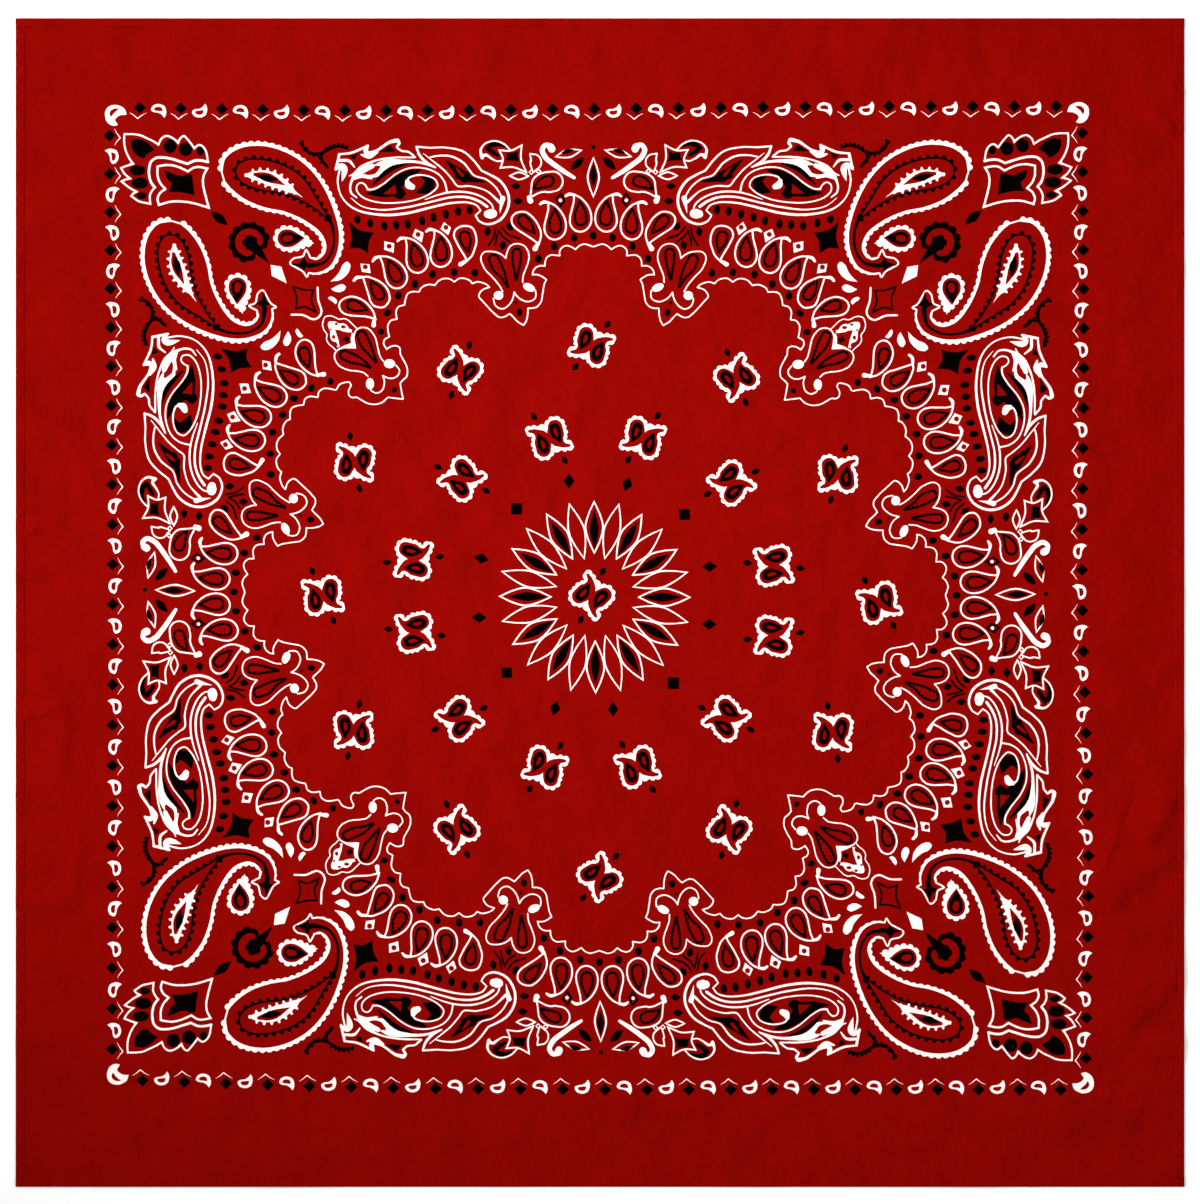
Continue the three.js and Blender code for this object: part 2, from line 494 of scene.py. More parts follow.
def cornerLeaf():
    edge = spots((-225.8, 221.3), (-221.7, 221.3), (-218.3, 220.8), (-215.5, 219.6), (-212.1, 218),
        (-209.5, 216.3), (-208.3, 218.9), (-206.1, 220.4), (-204, 220.1), (-201.6, 218.7),
        (-200.1, 217.2), (-199, 219.4), (-197.3, 220.4), (-195.6, 218.9), (-193.9, 216.8),
        (-192.3, 214.6), (-190.6, 216), (-189.2, 216), (-187.2, 214.1), (-186.3, 211.7),
        (-185.8, 207.9), (-188.7, 208.6), (-192, 208.6), (-195.6, 207), (-199.2, 208.2), (-204, 209.6),
        (-207.8, 210.1), (-210.7, 209.8), (-213.1, 207.9), (-214, 204.6), (-214, 201.7),
        (-213.1, 198.3), (-211.2, 195.7), (-212.6, 194), (-213.6, 191.6), (-213.3, 187.8),
        (-215.9, 188.3), (-218.8, 189), (-221.2, 190.5), (-222.6, 191.6), (-221.7, 192.8),
        (-220, 193.7), (-222.6, 195), (-225, 196.7), (-227.3, 198.6), (-225.5, 199.5), (-223.1, 200),
        (-225.5, 201.9), (-226.7, 203.6), (-227.5, 205), (-224.6, 206.2), (-221.7, 207.1),
        (-223.1, 208.9), (-224.8, 212.2), (-225.8, 215.6), (-226, 218.9))
    items = outlined(cusped(edge, [0, 5, 10, 15, 20, 32, 35, 39, 41, 44, 46, 49, 51]), 1.05)
    items += whiteLine(edge[20:33], [3], half=0.72)
    items += patch(blackInk, [0, 3, 5], (-222.2, 218.4), (-218.3, 218.7), (-215, 217.2),
        (-211.6, 213.7), (-214.5, 212.2), (-216.7, 209.6), (-219.3, 210.8), (-221.2, 212.7),
        (-222.4, 215.6))
    items += ovals(blackInk, (-204, 215.4, 3.0, 3.2), (-196.5, 214, 3.1, 3.2),
        (-189.4, 213.1, 1.7, 1.9), (-219.5, 203.9, 3.7, 2.4), (-218.4, 197.8, 3.9, 2.6),
        (-217.6, 191.8, 2.3, 1.5))
    return items


def bigPaisley():
    outer = spots((-179.1, 203.3), (-177.7, 209.9), (-171.7, 214.8), (-161.8, 216.7), (-150.9, 214.7),
        (-139.7, 208.6), (-131, 199), (-124.8, 186.3), (-121.8, 173.6), (-122.8, 164.3),
        (-126.6, 157.3), (-132.9, 154.3), (-136.8, 154.5))
    bud = spots((-136.8, 154.5), (-137.8, 152.6), (-139.7, 155.2), (-145.9, 159.1), (-144.2, 161.5),
        (-139.7, 162.7), (-138.2, 165.7), (-136, 162))
    inner = spots((-136, 162), (-133.4, 161.3), (-130.3, 163.2), (-128.8, 167.2), (-131, 173.3),
        (-138.2, 179.2), (-148.8, 183.9), (-157.7, 185.6), (-167.3, 189.3), (-174.5, 194.7),
        (-178.2, 199.1))
    items = []
    fine = [smooth(r)[:-1] for r in (outer, bud, inner)]
    shape = np.concatenate(fine)
    items.append((whiteInk, offset(shape, 0.5)))
    items += frilledSide(outer, 3.4, [2.1, 1.95, 1.7, 1.65, 1.9, 1.8, 0.5])
    items += frilledSide(inner, 3.4, [0.6, 1.8, 1.7, 1.45, 1.45, 1.7, 2.1])
    items.append((groundInk, offset(shape, -0.45)))
    loop = spots((-126.4, 179.8), (-133.6, 191.5), (-139, 199.9), (-147, 205.9), (-157.7, 209.3),
        (-166.8, 209.4), (-171.5, 206.5), (-172.1, 202.1), (-169, 198), (-161.5, 194.9),
        (-150.3, 193.3), (-141.6, 190.2), (-133.4, 185.4))
    ring = leftTurning(smooth(loop + loop[:1])[:-1])
    items.append((blackInk, teeth(ring, 3.8, 1.35, 0.3, 0.6)))
    items.append((groundInk, offset(ring, -0.45)))
    items += stroke(blackInk, [0.9, 0.45, 0.45, 0.5, 1.1], (-127.6, 182.3), (-125, 175),
        (-125.4, 165.8), (-129.5, 159.7), (-136.8, 158.1))
    items.append((blackInk, star(spots((-145.3, 158.3), (-139.4, 155.5), (-134.2, 158.5),
        (-139.2, 162.4)), 0.42, step=0.8)))
    seed = ribbon(spots((-165.1, 201.8), (-159.5, 201.3), (-152.8, 199.1), (-145.3, 194.8)),
        [1.4, 2.8, 3.4, 2.6, 1.4])
    items.append((whiteInk, teeth(seed, 3.6, 1.5, 0.2, 0.55)))
    items += strokes(
        (whiteInk, [1.6, 0.9, 0.35, 0.1], (-147, 195.9), (-138.8, 190.5)),
        (groundInk, [0.9, 1.9, 2.1, 1.2, 0], (-162.9, 202.2), (-157.6, 201.1), (-147.9, 196.9)),
    )
    items.append((blackInk, almond(-162 + 201.7j, -152.3 + 199.7j, 3.2, -0.3)))
    return items


# A white band beside a run of the outline, bumps on its outer edge
def frilledSide(run, pitch, widths):
    line = smooth(run, step=0.66)
    run = runOf(line)
    t = run / run[-1]
    way = unit(np.gradient(line))
    count = round(run[-1] / pitch)
    bump = np.abs(np.sin(math.pi * t * count)) ** 0.6
    half = spread(t, widths)
    grow = half * (0.5 + 0.62 * bump)
    outerEdge = line + 1j * way * grow
    back = line[::-1] - 1j * way[::-1] * 0.1
    return [(whiteInk, leftTurning(np.concatenate([outerEdge, back])))]


def smallDrop():
    body = ribbon(spots((-147.6, 171.2), (-142.1, 170.3), (-137.3, 169.5)), [4.6, 4.5, 3.6, 1.9, 0.5])
    items = [(whiteInk, frill(body, 2.9, 1.0, 1.1, 0.6))]
    items += strokes(
        (whiteInk, [1.8, 0.9, 0.1], (-139.2, 169.8), (-134.1, 168.8)),
        (groundInk, [4.4, 4.2, 3.1, 1.6, 0], (-147.6, 171.2), (-143, 171.2), (-138.7, 171.5)),
        (blackInk, [3.1, 2.9, 2.1, 1.1, 0], (-147.5, 171.1), (-143.5, 171.4), (-139.7, 172)),
        (groundInk, [1.4, 1.5, 1.2], (-148.1, 171), (-145.9, 171.4)),
    )
    return items


def snail():
    c = -165.6 + 169j
    angles = np.radians(np.linspace(4, 266, 44))
    edge = 8.3 + 1.9 * np.abs(np.sin(np.linspace(0, 9 * math.pi, 44))) ** 0.6
    outerEdge = c + edge * np.exp(1j * angles)
    innerEdge = c + 7.0 * np.exp(1j * angles)
    items = [(blackInk, leftTurning(np.concatenate([outerEdge, innerEdge[::-1]])))]
    for end, bend in ((angles[0], -0.5), (angles[-1], 0.5)):
        items.append((blackInk,
            ribbon([c + 7.9 * cmath.exp(1j * end), c + 7.4 * cmath.exp(1j * (end + bend * 0.6)),
            c + 5.6 * cmath.exp(1j * (end + bend))], [1.0, 1.2, 0.4])))
    items.append((blackInk, frill(disc(-165.2 + 169j, 2.6, 16), 3.0, 0.9, 0.3, 0.9)))
    items += stroke(blackInk, [2.6, 2.1, 1.0, 0.1], (-164.5, 168.1), (-160.6, 164.2), (-156.3, 159.3))
    return items


def squareTrims():
    items = [(whiteInk, facet((-155.4, 158.4), (-150, 157.5), (-147.3, 149.2), (-154.8, 152.8)))]
    edge = spots((-144.4, 147.8), (-139.6, 146.2), (-134.8, 146), (-135.8, 141.2), (-133.6, 135.8),
        (-139, 138.2), (-142.9, 137.2), (-142.5, 142.5))
    items += outlined(cusped(edge, [0, 2, 4, 6]), 0.85, ink=blackInk)
    items += stroke(whiteInk, [0.6, 0.6, 0.6], (-132.6, 147.5), (-132.3, 141.5), (-130.7, 135.9),
        (-132, 133.2), (-134.6, 132.1), (-139.8, 134.1), (-145.2, 134.2))
    return items


def threeDrops():
    return (patch(whiteInk, [0], (-126.8, 150.3), (-124.2, 152.7), (-122.1, 155.4), (-120.8, 158.5),
        (-118.4, 160.3), (-116.8, 158.9), (-117, 156.2), (-118.7, 153.4), (-121.8, 151.1))
        + patch(whiteInk, [0], (-126.4, 146.9), (-123.5, 148.5), (-120.8, 149.4), (-118.9, 148.2),
            (-119.4, 146.5), (-122.1, 145.2), (-124.6, 145.7))
        + patch(whiteInk, [0, 4], (-127.8, 142.7), (-126.3, 143.4), (-124.2, 142.6), (-123, 140.9),
            (-123.9, 139.3), (-125.2, 140.5), (-127, 141.7)))


def twig():
    items = strokes(
        (blackInk, [0.65, 0.6, 0.6, 0.65, 0.6, 0.5, 0.4], (-140.5, 217.7), (-138.9, 214.5),
            (-135.4, 212.6), (-130.9, 212.7), (-127.2, 214.8), (-122.9, 216.1), (-118.3, 215)),
        (blackInk, [0.6, 0.6, 0.55], (-130.4, 212.8), (-130.9, 209.9), (-128.3, 206.8)),
    )
    items += [(blackInk, disc(at, 0.7, 6)) for at in spots((-140, 218.3), (-137.9, 215),
        (-136.5, 212.4), (-134.4, 211.6), (-132.5, 211.7), (-128.5, 215), (-126.6, 216),
        (-124.8, 216.7), (-122.7, 217), (-120.6, 216.8), (-118.7, 216), (-131.5, 210.4),
        (-130.8, 208.4), (-129.1, 207.2), (-128.2, 206.1), (-141, 217.5))]
    return items


def dotRow():
    items = [(blackInk, oval(at, 1.4, 2.1, 6)) for at in spots((-113.4, 180.7), (-107.2, 178.9),
        (-100.4, 177.6), (-94.7, 178.1), (-89.1, 178.5), (-82.2, 180.2), (-76.8, 181.9),
        (-70.8, 183.4), (-64.9, 184.9), (-59.3, 185.6))]
    edge = spots((-117.3, 179.2), (-112.2, 175.3), (-105.8, 174.3), (-107.9, 170.3), (-108.5, 164.6),
        (-112.7, 167), (-117.3, 166.6), (-116, 172.6))
    items.append((blackInk, cusped(edge, [0, 2, 4, 6])))
    return items


def feather():
    items = []
    body = spots((-121.9, 205.6), (-123, 198.8), (-120.7, 191.1), (-114.4, 185.6), (-102.1, 183),
        (-89.8, 183.8), (-77.5, 186.9), (-68.3, 188.9), (-60.3, 189.2), (-56, 187.8), (-54.1, 185.3))
    head = spots((-56.6, 182.9), (-54.7, 180.1), (-50.3, 178.7), (-44.4, 181.1), (-40.8, 187.3),
        (-40.9, 193.4), (-44.5, 199.4), (-49.9, 202.8), (-53.6, 204.5))
    crest = spots((-53.6, 204.5), (-57.9, 210), (-62.8, 214), (-71.4, 215.8), (-78.5, 215.6),
        (-85.1, 216.1))
    items.append((whiteInk, ribbon(body, [0.6, 0.5, 0.65, 0.75, 0.7, 0.6, 0.5])))
    items += stroke(whiteInk, [0.5, 0.5], (-54.1, 185.3), (-56.6, 182.9))
    items.append((whiteInk, ribbon(head, [0.5, 0.7, 0.75, 0.7, 0.6])))
    items.append((whiteInk, ribbon(crest, [0.6, 0.6, 0.55, 0.6])))
    items += strokes(
        (whiteInk, [0.6, 0.75, 0.8, 0.4], (-85.1, 216.1), (-83.7, 212.3), (-80.2, 208.4),
            (-75.9, 206.2)),
        (whiteInk, [0.3, 0.5, 0.6, 0.6, 0.65, 0.8], (-116.5, 191), (-111.3, 187.1), (-102.1, 185.4),
            (-89.8, 186.7), (-77.5, 189.5), (-68.3, 191.7), (-60.3, 191.7), (-54.8, 189.8),
            (-51, 187.2)),
        (whiteInk, [0.35, 0.55, 0.6, 0.55, 0.5], (-80.9, 190.5), (-74.4, 192.9), (-68.3, 194.2),
            (-60.3, 194.1), (-52.9, 191.6), (-48.6, 187.9), (-47.8, 184.1)),
        (whiteInk, [2.0, 2.5, 2.2], (-50.7, 183.6), (-48.3, 183.8)),
        (whiteInk, [0.3, 0.5, 0.5, 0.5, 0.55, 0.5, 0.5, 0.8], (-81.8, 212.9), (-77.5, 209.5),
            (-71.4, 204.5), (-67.7, 200.2), (-65.2, 197.1), (-59.1, 197.1), (-51.1, 194.7),
            (-45, 189.3)),
        (whiteInk, [0.5, 0.6, 0.6, 0.5, 0.5, 0.5], (-78.5, 211), (-74.5, 211.8), (-68.3, 211.5),
            (-62.2, 208.2), (-57.3, 202.3), (-51.7, 200.5), (-46.8, 196.5), (-43.1, 190.2)),
        (whiteInk, [1.4, 1.0, 0.5, 0.1], (-43.5, 191.2), (-44.2, 188), (-45, 183.4)),
    )
    # eye
    items += strokes(
        (blackInk, [0.2, 1.5, 2.6], (-70.8, 209.4), (-66, 204.9), (-61.7, 201.5)),
        (blackInk, [1.6, 1.2, 0.1], (-65, 202.1), (-60.2, 200.7), (-52, 199.1)),
        (groundInk, [0.2, 0.75, 0.7], (-65.9, 205.9), (-62.8, 202.2)),
        (whiteInk, [0.5, 0.6, 0.6, 0.6, 1.0, 0.4], (-85.7, 210.9), (-95.9, 210.8), (-105.2, 209.2),
            (-111.3, 206.2), (-115.4, 202.6), (-117.5, 201.8)),
        (whiteInk, [0.5, 0.7, 0.9, 1.8, 3.2, 1.6], (-75.8, 206.1), (-83.7, 208.6), (-91.5, 208.9),
            (-98.7, 207.8), (-104.5, 204.1), (-109.3, 202.3)),
        (groundInk, [0.4, 1.7, 2.0, 0.7], (-110.3, 202.8), (-106.4, 204.5), (-103.1, 206.2)),
        (whiteInk, [1.2, 1.5, 1.2, 0.7, 0.6, 0.5], (-106.2, 206.7), (-111.3, 204.3), (-115.3, 201),
            (-116.9, 196.9), (-116.4, 193.5), (-113.8, 191.3)),
        (whiteInk, [1.2, 1.3, 1.0, 0.5], (-115.3, 200.9), (-111.7, 202), (-106.6, 200.6)),
        (blackInk, [0.2, 0.95, 1.0, 0.2], (-106, 197.6), (-102.1, 201.6), (-96.8, 205.6),
            (-89.7, 207.9)),
    )
    # black of the eye
    items += strokes(
        (blackInk, [0.1, 1.9, 3.0, 2.2, 0.2], (-109.3, 193.2), (-101.6, 194.3), (-94.9, 198.2),
            (-88.6, 202.7), (-83.1, 204.9)),
        (blackInk, [0.3, 0.9, 0.8, 0.3], (-107.4, 193), (-100.6, 192.6), (-90.2, 193.2)),
        (blackInk, [1.8, 2.6], (-94.9, 197), (-93.1, 193.4)),
    )
    items.append((groundInk, facet((-100.9, 193.1), (-95.3, 197.7), (-94.8, 193.2))))
    items += strokes(
        (blackInk, [0.2, 2.3, 2.2, 0.3], (-84.7, 194), (-79.7, 196.2), (-78.8, 199.7), (-82.6, 201.6)),
        (whiteInk, [0.6, 0.5, 0.5, 0.5, 0.5, 0.5, 0.5], (-89.5, 198.5), (-88.9, 200.7), (-85.9, 202.1),
            (-80.6, 202.2), (-76.1, 200.3), (-74.8, 197.1), (-77.5, 194), (-83.6, 190.9), (-92.8, 189),
            (-103.3, 189), (-110.6, 191.3), (-113.7, 194.5), (-113.4, 197.6), (-111.3, 198.5),
            (-109.5, 197.2), (-108.5, 195.3)),
        (whiteInk, [0.6, 0.5, 0.5, 0.5, 0.55], (-108.6, 195.3), (-105.6, 195.4), (-100.8, 198.1),
            (-94.7, 203), (-88.6, 205.7), (-81.2, 205.7), (-74.5, 202.9), (-71.4, 198.9),
            (-70.3, 194.2)),
        (whiteInk, [1.2, 1.9, 1.5], (-89.4, 199.3), (-88.8, 197.5), (-87, 196.6)),
    )
    # crest at the upper left
    crown = spots((-123.9, 204.8), (-122.2, 212.3), (-116.1, 213.1), (-108.4, 216.6), (-108.8, 212.6),
        (-104.5, 214), (-98, 218.3), (-94.2, 219.1), (-93.4, 217.8), (-94.6, 215.9), (-92.3, 214.1),
        (-88.9, 213.6), (-85.7, 211))
    items.append((whiteInk, ribbon(crown[:2], [0.7, 0.8])))
    items.append((whiteInk, ribbon(crown[1:4], [0.6, 0.7, 0.6])))
    items.append((whiteInk, ribbon([crown[3], -109.5 + 214.1j, crown[4]], [0.6, 1.3, 1.2])))
    items += stroke(whiteInk, [0.6, 1.2, 0.8], (-111.5, 212.1), (-107.9, 211.3), (-104, 213.5))
    items.append((whiteInk, ribbon(crown[4:8], [1.0, 0.7, 0.8, 1.1])))
    items.append((whiteInk, ribbon(crown[6:10], [0.8, 1.0, 0.9, 0.6])))
    items.append((whiteInk, ribbon(crown[9:], [0.6, 0.6, 0.6, 0.6])))
    items += strokes(
        (whiteInk, [0.8, 0.8, 0.5], (-122.1, 209.3), (-117.5, 209.1), (-114.9, 206.1)),
        (whiteInk, [1.0, 1.6, 1.3, 0.2], (-123.6, 205.6), (-121.1, 206.6), (-119.7, 205.3),
            (-120.9, 199)),
    )
    items.append((blackInk, facet((-117, 211.2), (-113.5, 212.7), (-114.8, 209.8))))
    items.append((blackInk, facet((-102.4, 213.5), (-97.6, 216.6), (-95.5, 213.8))))
    return items


# Left half of the ornament at the middle of the top side
def sideCentre():
    items = strokes(
        (whiteInk, [1.9, 1.9], (-20.4, 215.9), (-20, 215.1)),
        (whiteInk, [1.2, 1.3, 1.35, 1.3, 1.2, 0.9], (-20.3, 216.7), (-22.9, 217), (-24.6, 214.8),
            (-22.9, 210.9), (-18.9, 207.6), (-14.4, 204.4), (-9.2, 201.2)),
    )
    items += almondRing(-19.1 + 211.1j, -4.7 + 214.7j, 3.9)
    items.append((blackInk, almond(-15.1 + 213.2j, -9.6 + 214.8j, 2.0)))
    items += stroke(blackInk, [0.5, 1.5, 1.6, 0.7], (-10, 205.7), (-5.3, 210.3))
    flower = ribbon(spots((-19.5, 199.4), (-25.1, 198.2), (-30.2, 191.9)), [4.9, 4.9, 4.2, 2.0, 0.2])
    items += outlined(flower, 0.95)
    items += stroke(whiteInk, [1.2, 1.5], (-30.9, 191.6), (-30.2, 190))
    seed = ribbon(spots((-21.6, 199.6), (-25.1, 198.2), (-28.3, 195.9)), [2.4, 2.2, 1.3, 0.1])
    items += toothedRing(seed)
    bud = ribbon(spots((-30.4, 212.8), (-27.7, 209.6), (-28.7, 204.5)), [0.1, 2.2, 2.6, 0.6])
    items += outlined(bud, 0.9)
    items += almondRing(-41.1 + 202.1j, -30.2 + 202j, 3.6)
    for at in spots((-29.8, 203.9), (-26.3, 204.2)):
        items.append((whiteInk, at + diamond * 1.6))
        items.append((groundInk, at + diamond * 0.7))
    # curled leaf under the star
    leaf = spots((-53.4, 210.8), (-54.2, 214.5), (-52, 217.7), (-47.3, 219), (-42.9, 217.5),
        (-39.5, 214.1))
    items += strokes(
        (blackInk, [0.4, 1.2, 0.9, 0.3], (-51.3, 214.9), (-49.4, 216.8), (-46.1, 217.6),
            (-42.1, 216.1)),
        (blackInk, [1.0, 1.0, 0.7], (-50.9, 215.3), (-48.7, 213.7), (-46, 212)),
    )
    items.append((whiteInk, ribbon(leaf, [0.9, 0.55, 0.55, 0.5])))
    items += stroke(whiteInk, [1.0, 0.7, 0.5, 0.5], (-53.6, 211.4), (-51.6, 212.2), (-49, 210.5),
        (-46.3, 209.2), (-43.4, 209.5))
    points = spots((-45.3, 214.6), (-34.3, 217), (-32, 203.7), (-44.7, 205.9))
    items += outlined(star(points, 0.26), 0.95)
    items.append((blackInk, star(spots((-41.4, 213), (-36.5, 213.6), (-35.8, 209.3), (-42.2, 209.6)),
        0.12)))
    for at, turn in (
        (-37.1 + 197.1j, 0),
        (-36.1 + 189.8j, 0),
        (-50.7 + 175.1j, 80),
        (-40.1 + 177.6j, -55),
        (-43.4 + 168.6j, 80),
    ):
        way = cmath.exp(1j * math.radians(turn)) * 2.2
        items.append((blackInk, almond(at - way, at + way, 3.0)))
    for stem in (
        spots((-46.8, 177.1), (-47.7, 172.5), (-50.4, 168.4)),
        spots((-45.4, 175.9), (-46.5, 172.1), (-47.1, 168.5)),
        spots((-45.4, 175.9), (-43.6, 172.8), (-40, 170.2)),
        spots((-43.9, 177.3), (-40.9, 173.8), (-35.2, 171.7)),
    ):
        items.append((blackInk, ribbon(stem, [0.25, 0.35, 0.3])))
    c = -15.9 + 190.6j
    items.append((blackInk, c + np.array([2.6 - 0.6j, 0.4 + 3.6j, -2.4 + 0.4j, 0.2 - 3.6j])))
    items.append((groundInk, c + np.array([1.4 - 0.4j, 0.2 + 2.0j, -1.3 + 0.2j, 0.1 - 2.0j])))
    items.append((whiteInk, disc(c + 0.1 - 0.3j, 1.0)))
    return items


# What lies on the mirror line at the middle of the top side
def sideAxis():
    top, foot = 211.4j, 191.4j
    items = almondRing(top + 0.4j, foot - 0.4j, 5.6, 1.0)
    items.append((blackInk, almond(207.4j, 197.2j, 2.7)))
    items.append((blackInk, disc(216.0j, 0.9)))
    return items


# A medallion drop, round end down, with its cap to the upper left
def cappedDrop():
    edge = spots((-3.1, 9.8), (0, 8.3), (2.7, 5.6), (4.7, 2.1), (5.4, -2.0), (4.5, -5.5), (2.2, -7.7),
        (-0.4, -8.3), (-3.1, -7.3), (-4.9, -4.6), (-5.1, -1.5), (-4.2, 2.5), (-3.3, 6.0))
    items = outlined(cusped(edge, [0]), 0.98)
    items += stroke(whiteInk, [0.7, 0.9, 0.7], (-7.1, 8.9), (-5.4, 9.9), (-3, 9.5))
    items += toothedSeed(0.2 - 2.4j, -0.2 + 6.2j, 3.05)
    return items


# The flower between a middle lobe and the next
def lily():
    items = whiteLine(spots((-49.8, 148.3), (-52.6, 147.4), (-54.3, 145.9), (-55, 143.9),
        (-53.7, 142.1), (-51.8, 140.1), (-49.6, 137.6), (-47.3, 135.4), (-45.4, 134), (-43.2, 133.9),
        (-40.1, 135.6), (-38.3, 133.9), (-36.4, 131.8), (-33.5, 130.1), (-32.2, 132.2), (-31.5, 135.3),
        (-31.4, 138.3), (-29.2, 138.3), (-26.9, 139.1), (-25.1, 141.3), (-24.5, 144), (-24.1, 147),
        (-23.5, 150), (-22.5, 152.1), (-24.3, 153.4), (-26.5, 154.4), (-29.2, 154.5)), [10, 13, 16, 23])
    items += whiteLine(spots((-43.5, 146.2), (-44.6, 148.4), (-46.9, 151.5), (-49.5, 154.3),
        (-51.8, 156.6), (-53.3, 159.4), (-54, 161.7), (-53.7, 163.7), (-52.2, 165.3), (-49.5, 165.6),
        (-46.5, 165.2), (-43.9, 164), (-42, 162.3), (-41.4, 165.3), (-40.1, 167.8), (-38.2, 169.1),
        (-35.6, 169.3), (-33, 168.2), (-31.4, 165.9), (-30.8, 162.9), (-31.4, 159.9), (-32.6, 156.8),
        (-33.7, 153.8), (-33.9, 150.7)), [12])
    items += whiteLine(spots((-47.9, 143.1), (-47.9, 142), (-47.1, 139.7), (-45.4, 138.3),
        (-43.2, 138), (-40.9, 139.4), (-39.4, 141.3), (-38.4, 143.6), (-37.9, 146), (-36.7, 144.1),
        (-34.9, 142.6), (-32.2, 141.5), (-30, 141.7), (-28, 143), (-27.5, 145.1), (-27.8, 147)), [8])
    items += ovals(whiteInk, (-45.5, 144.4, 2.45, 2.3), (-30.9, 148.3, 3.2, 2.0, -25))
    items += toothedRing(ribbon(spots((-47.8, 161.7), (-46.2, 158.1), (-43.5, 154.1), (-41.2, 148.8)),
        [2.15, 2.2, 0.95, 0.1]))
    items += toothedRing(ribbon(spots((-36.7, 164.8), (-36.8, 160.5), (-36.9, 156.7), (-37.1, 152.3)),
        [1.95, 1.8, 0.9, 0.1]))
    items.append((blackInk, disc(-37.1 + 140.9j, 0.6, 8)))
    items += ovals(blackInk, (-35.5, 136.2, 1.35, 1.65))
    return items


# The flower on the diagonal, its two halves not quite alike
def diagonalLily():
    items = whiteLine(spots((-98, 124.1), (-100.4, 122.6), (-100.8, 120.7), (-99.4, 118.1),
        (-97.7, 119.2), (-95.4, 119.8), (-93.2, 119), (-92.7, 115.6), (-91.2, 112.9), (-89.8, 110.1),
        (-89.3, 107.7), (-89.8, 104.9), (-91.5, 103.4), (-92.9, 101.8), (-92.4, 98.4), (-91.5, 94.1),
        (-95, 94.4), (-98.8, 94.9), (-101.5, 92.4), (-105, 91.4), (-108.4, 91.8), (-111.8, 93.5),
        (-113.9, 94.7), (-115.9, 94.5), (-117.3, 95.3), (-117.8, 97.4), (-116.5, 100.5),
        (-117.3, 101.9), (-119.9, 101.7), (-122.1, 100.7), (-123.6, 98.3)), [3, 13, 15, 17, 26])
    items += whiteLine(spots((-100.9, 112.2), (-102.3, 114.1), (-103.3, 117.2), (-104, 120.7),
        (-104.7, 123.4), (-106.3, 126.1), (-108.3, 127.9), (-110.7, 128.5), (-112.8, 128),
        (-114.3, 126.7), (-115, 125), (-115.2, 123.3), (-114.4, 118.5), (-117.3, 118.6), (-120, 118.6),
        (-122.5, 117.7), (-124.2, 115.9), (-124.5, 113.9), (-123.8, 111.8), (-122.1, 109.7),
        (-119.7, 108.4), (-117, 107.6), (-113.2, 107.3), (-110.4, 106.6), (-108.4, 104.9)), [12])
    items += whiteLine(spots((-94.9, 110.4), (-93.2, 108), (-93.9, 105.6), (-96, 104.2),
        (-98.7, 104.2), (-101.3, 105.3), (-100.6, 103.5), (-100.5, 101.4), (-101.3, 98.6),
        (-102.9, 97.2), (-104.4, 96.9), (-106, 97.4), (-107, 98.2)), [5])
    items += ovals(whiteInk, (-98, 111.1, 2.9, 2.35), (-107.4, 101.3, 2.1, 2.9))
    items += toothedRing(ribbon(spots((-111.4, 124.5), (-109.6, 120.5), (-107.1, 116.3),
        (-104.5, 111.8)), [2.0, 2.1, 1.1, 0.1]))
    items += toothedRing(ribbon(spots((-119.7, 115), (-115.9, 113.4), (-111.7, 111.9),
        (-107.4, 109.2)), [2.0, 2.0, 1.1, 0.1]))
    items += ovals(blackInk, (-95.7, 98.4, 1.3, 1.0, 45))
    return items


# The little crown outside the diagonal flower
def crown():
    items = whiteLine(spots((-124, 117.3), (-125, 118.5), (-127.3, 120.4), (-128.3, 122.5),
        (-128.1, 124.9), (-129.5, 126.9), (-130.2, 129.3), (-129.8, 131.8), (-129, 133.3),
        (-126.9, 133.9), (-124.8, 133.5), (-122.4, 132.3), (-119.7, 132.6), (-117.6, 131.7),
        (-115.9, 130), (-113.7, 127.9)), half=0.42)
    mass = spots((-115.9, 127.4), (-117.3, 127.8), (-118.2, 129.3), (-119.4, 130.2), (-120.7, 130.5),
        (-122.1, 130.3), (-123.5, 131.1), (-125.5, 131.4), (-127.3, 131.1), (-127.8, 129.7),
        (-127.4, 128), (-126.7, 126.6), (-126.6, 124.9), (-126.4, 122.8), (-125.2, 121.4),
        (-123.8, 121.1), (-123.1, 119.8), (-123.7, 118.7), (-121.8, 118.7), (-122.4, 122.2),
        (-123.3, 124.9), (-124, 127.1), (-122.1, 127), (-120.4, 126.3), (-118, 125.9), (-116.1, 125.9))
    items.append((whiteInk, cusped(mass, [0, 17, 18, 21, 25], step=0.8)))
    items += ovals(groundInk, (-123.6, 130, 0.8, 0.6), (-120.2, 128.6, 1.2, 0.8),
        (-126.2, 127.3, 0.5, 0.5), (-124.9, 123.7, 0.8, 1.0))
    items += patch(whiteInk, [0, 2, 5, 8, 10], (-116.2, 125.9), (-116.8, 123.3), (-116.6, 120.9),
        (-118.6, 120.2), (-121.4, 118.9), (-122.5, 117.4), (-120, 118.4), (-117.3, 118.6),
        (-114.2, 118.3), (-115.2, 123.3), (-114.9, 125.7))
    items.append((blackInk, star(spots((-119.2, 124.4), (-117, 123.1), (-118.1, 121), (-120.3, 122.4)),
        0.2)))
    return items


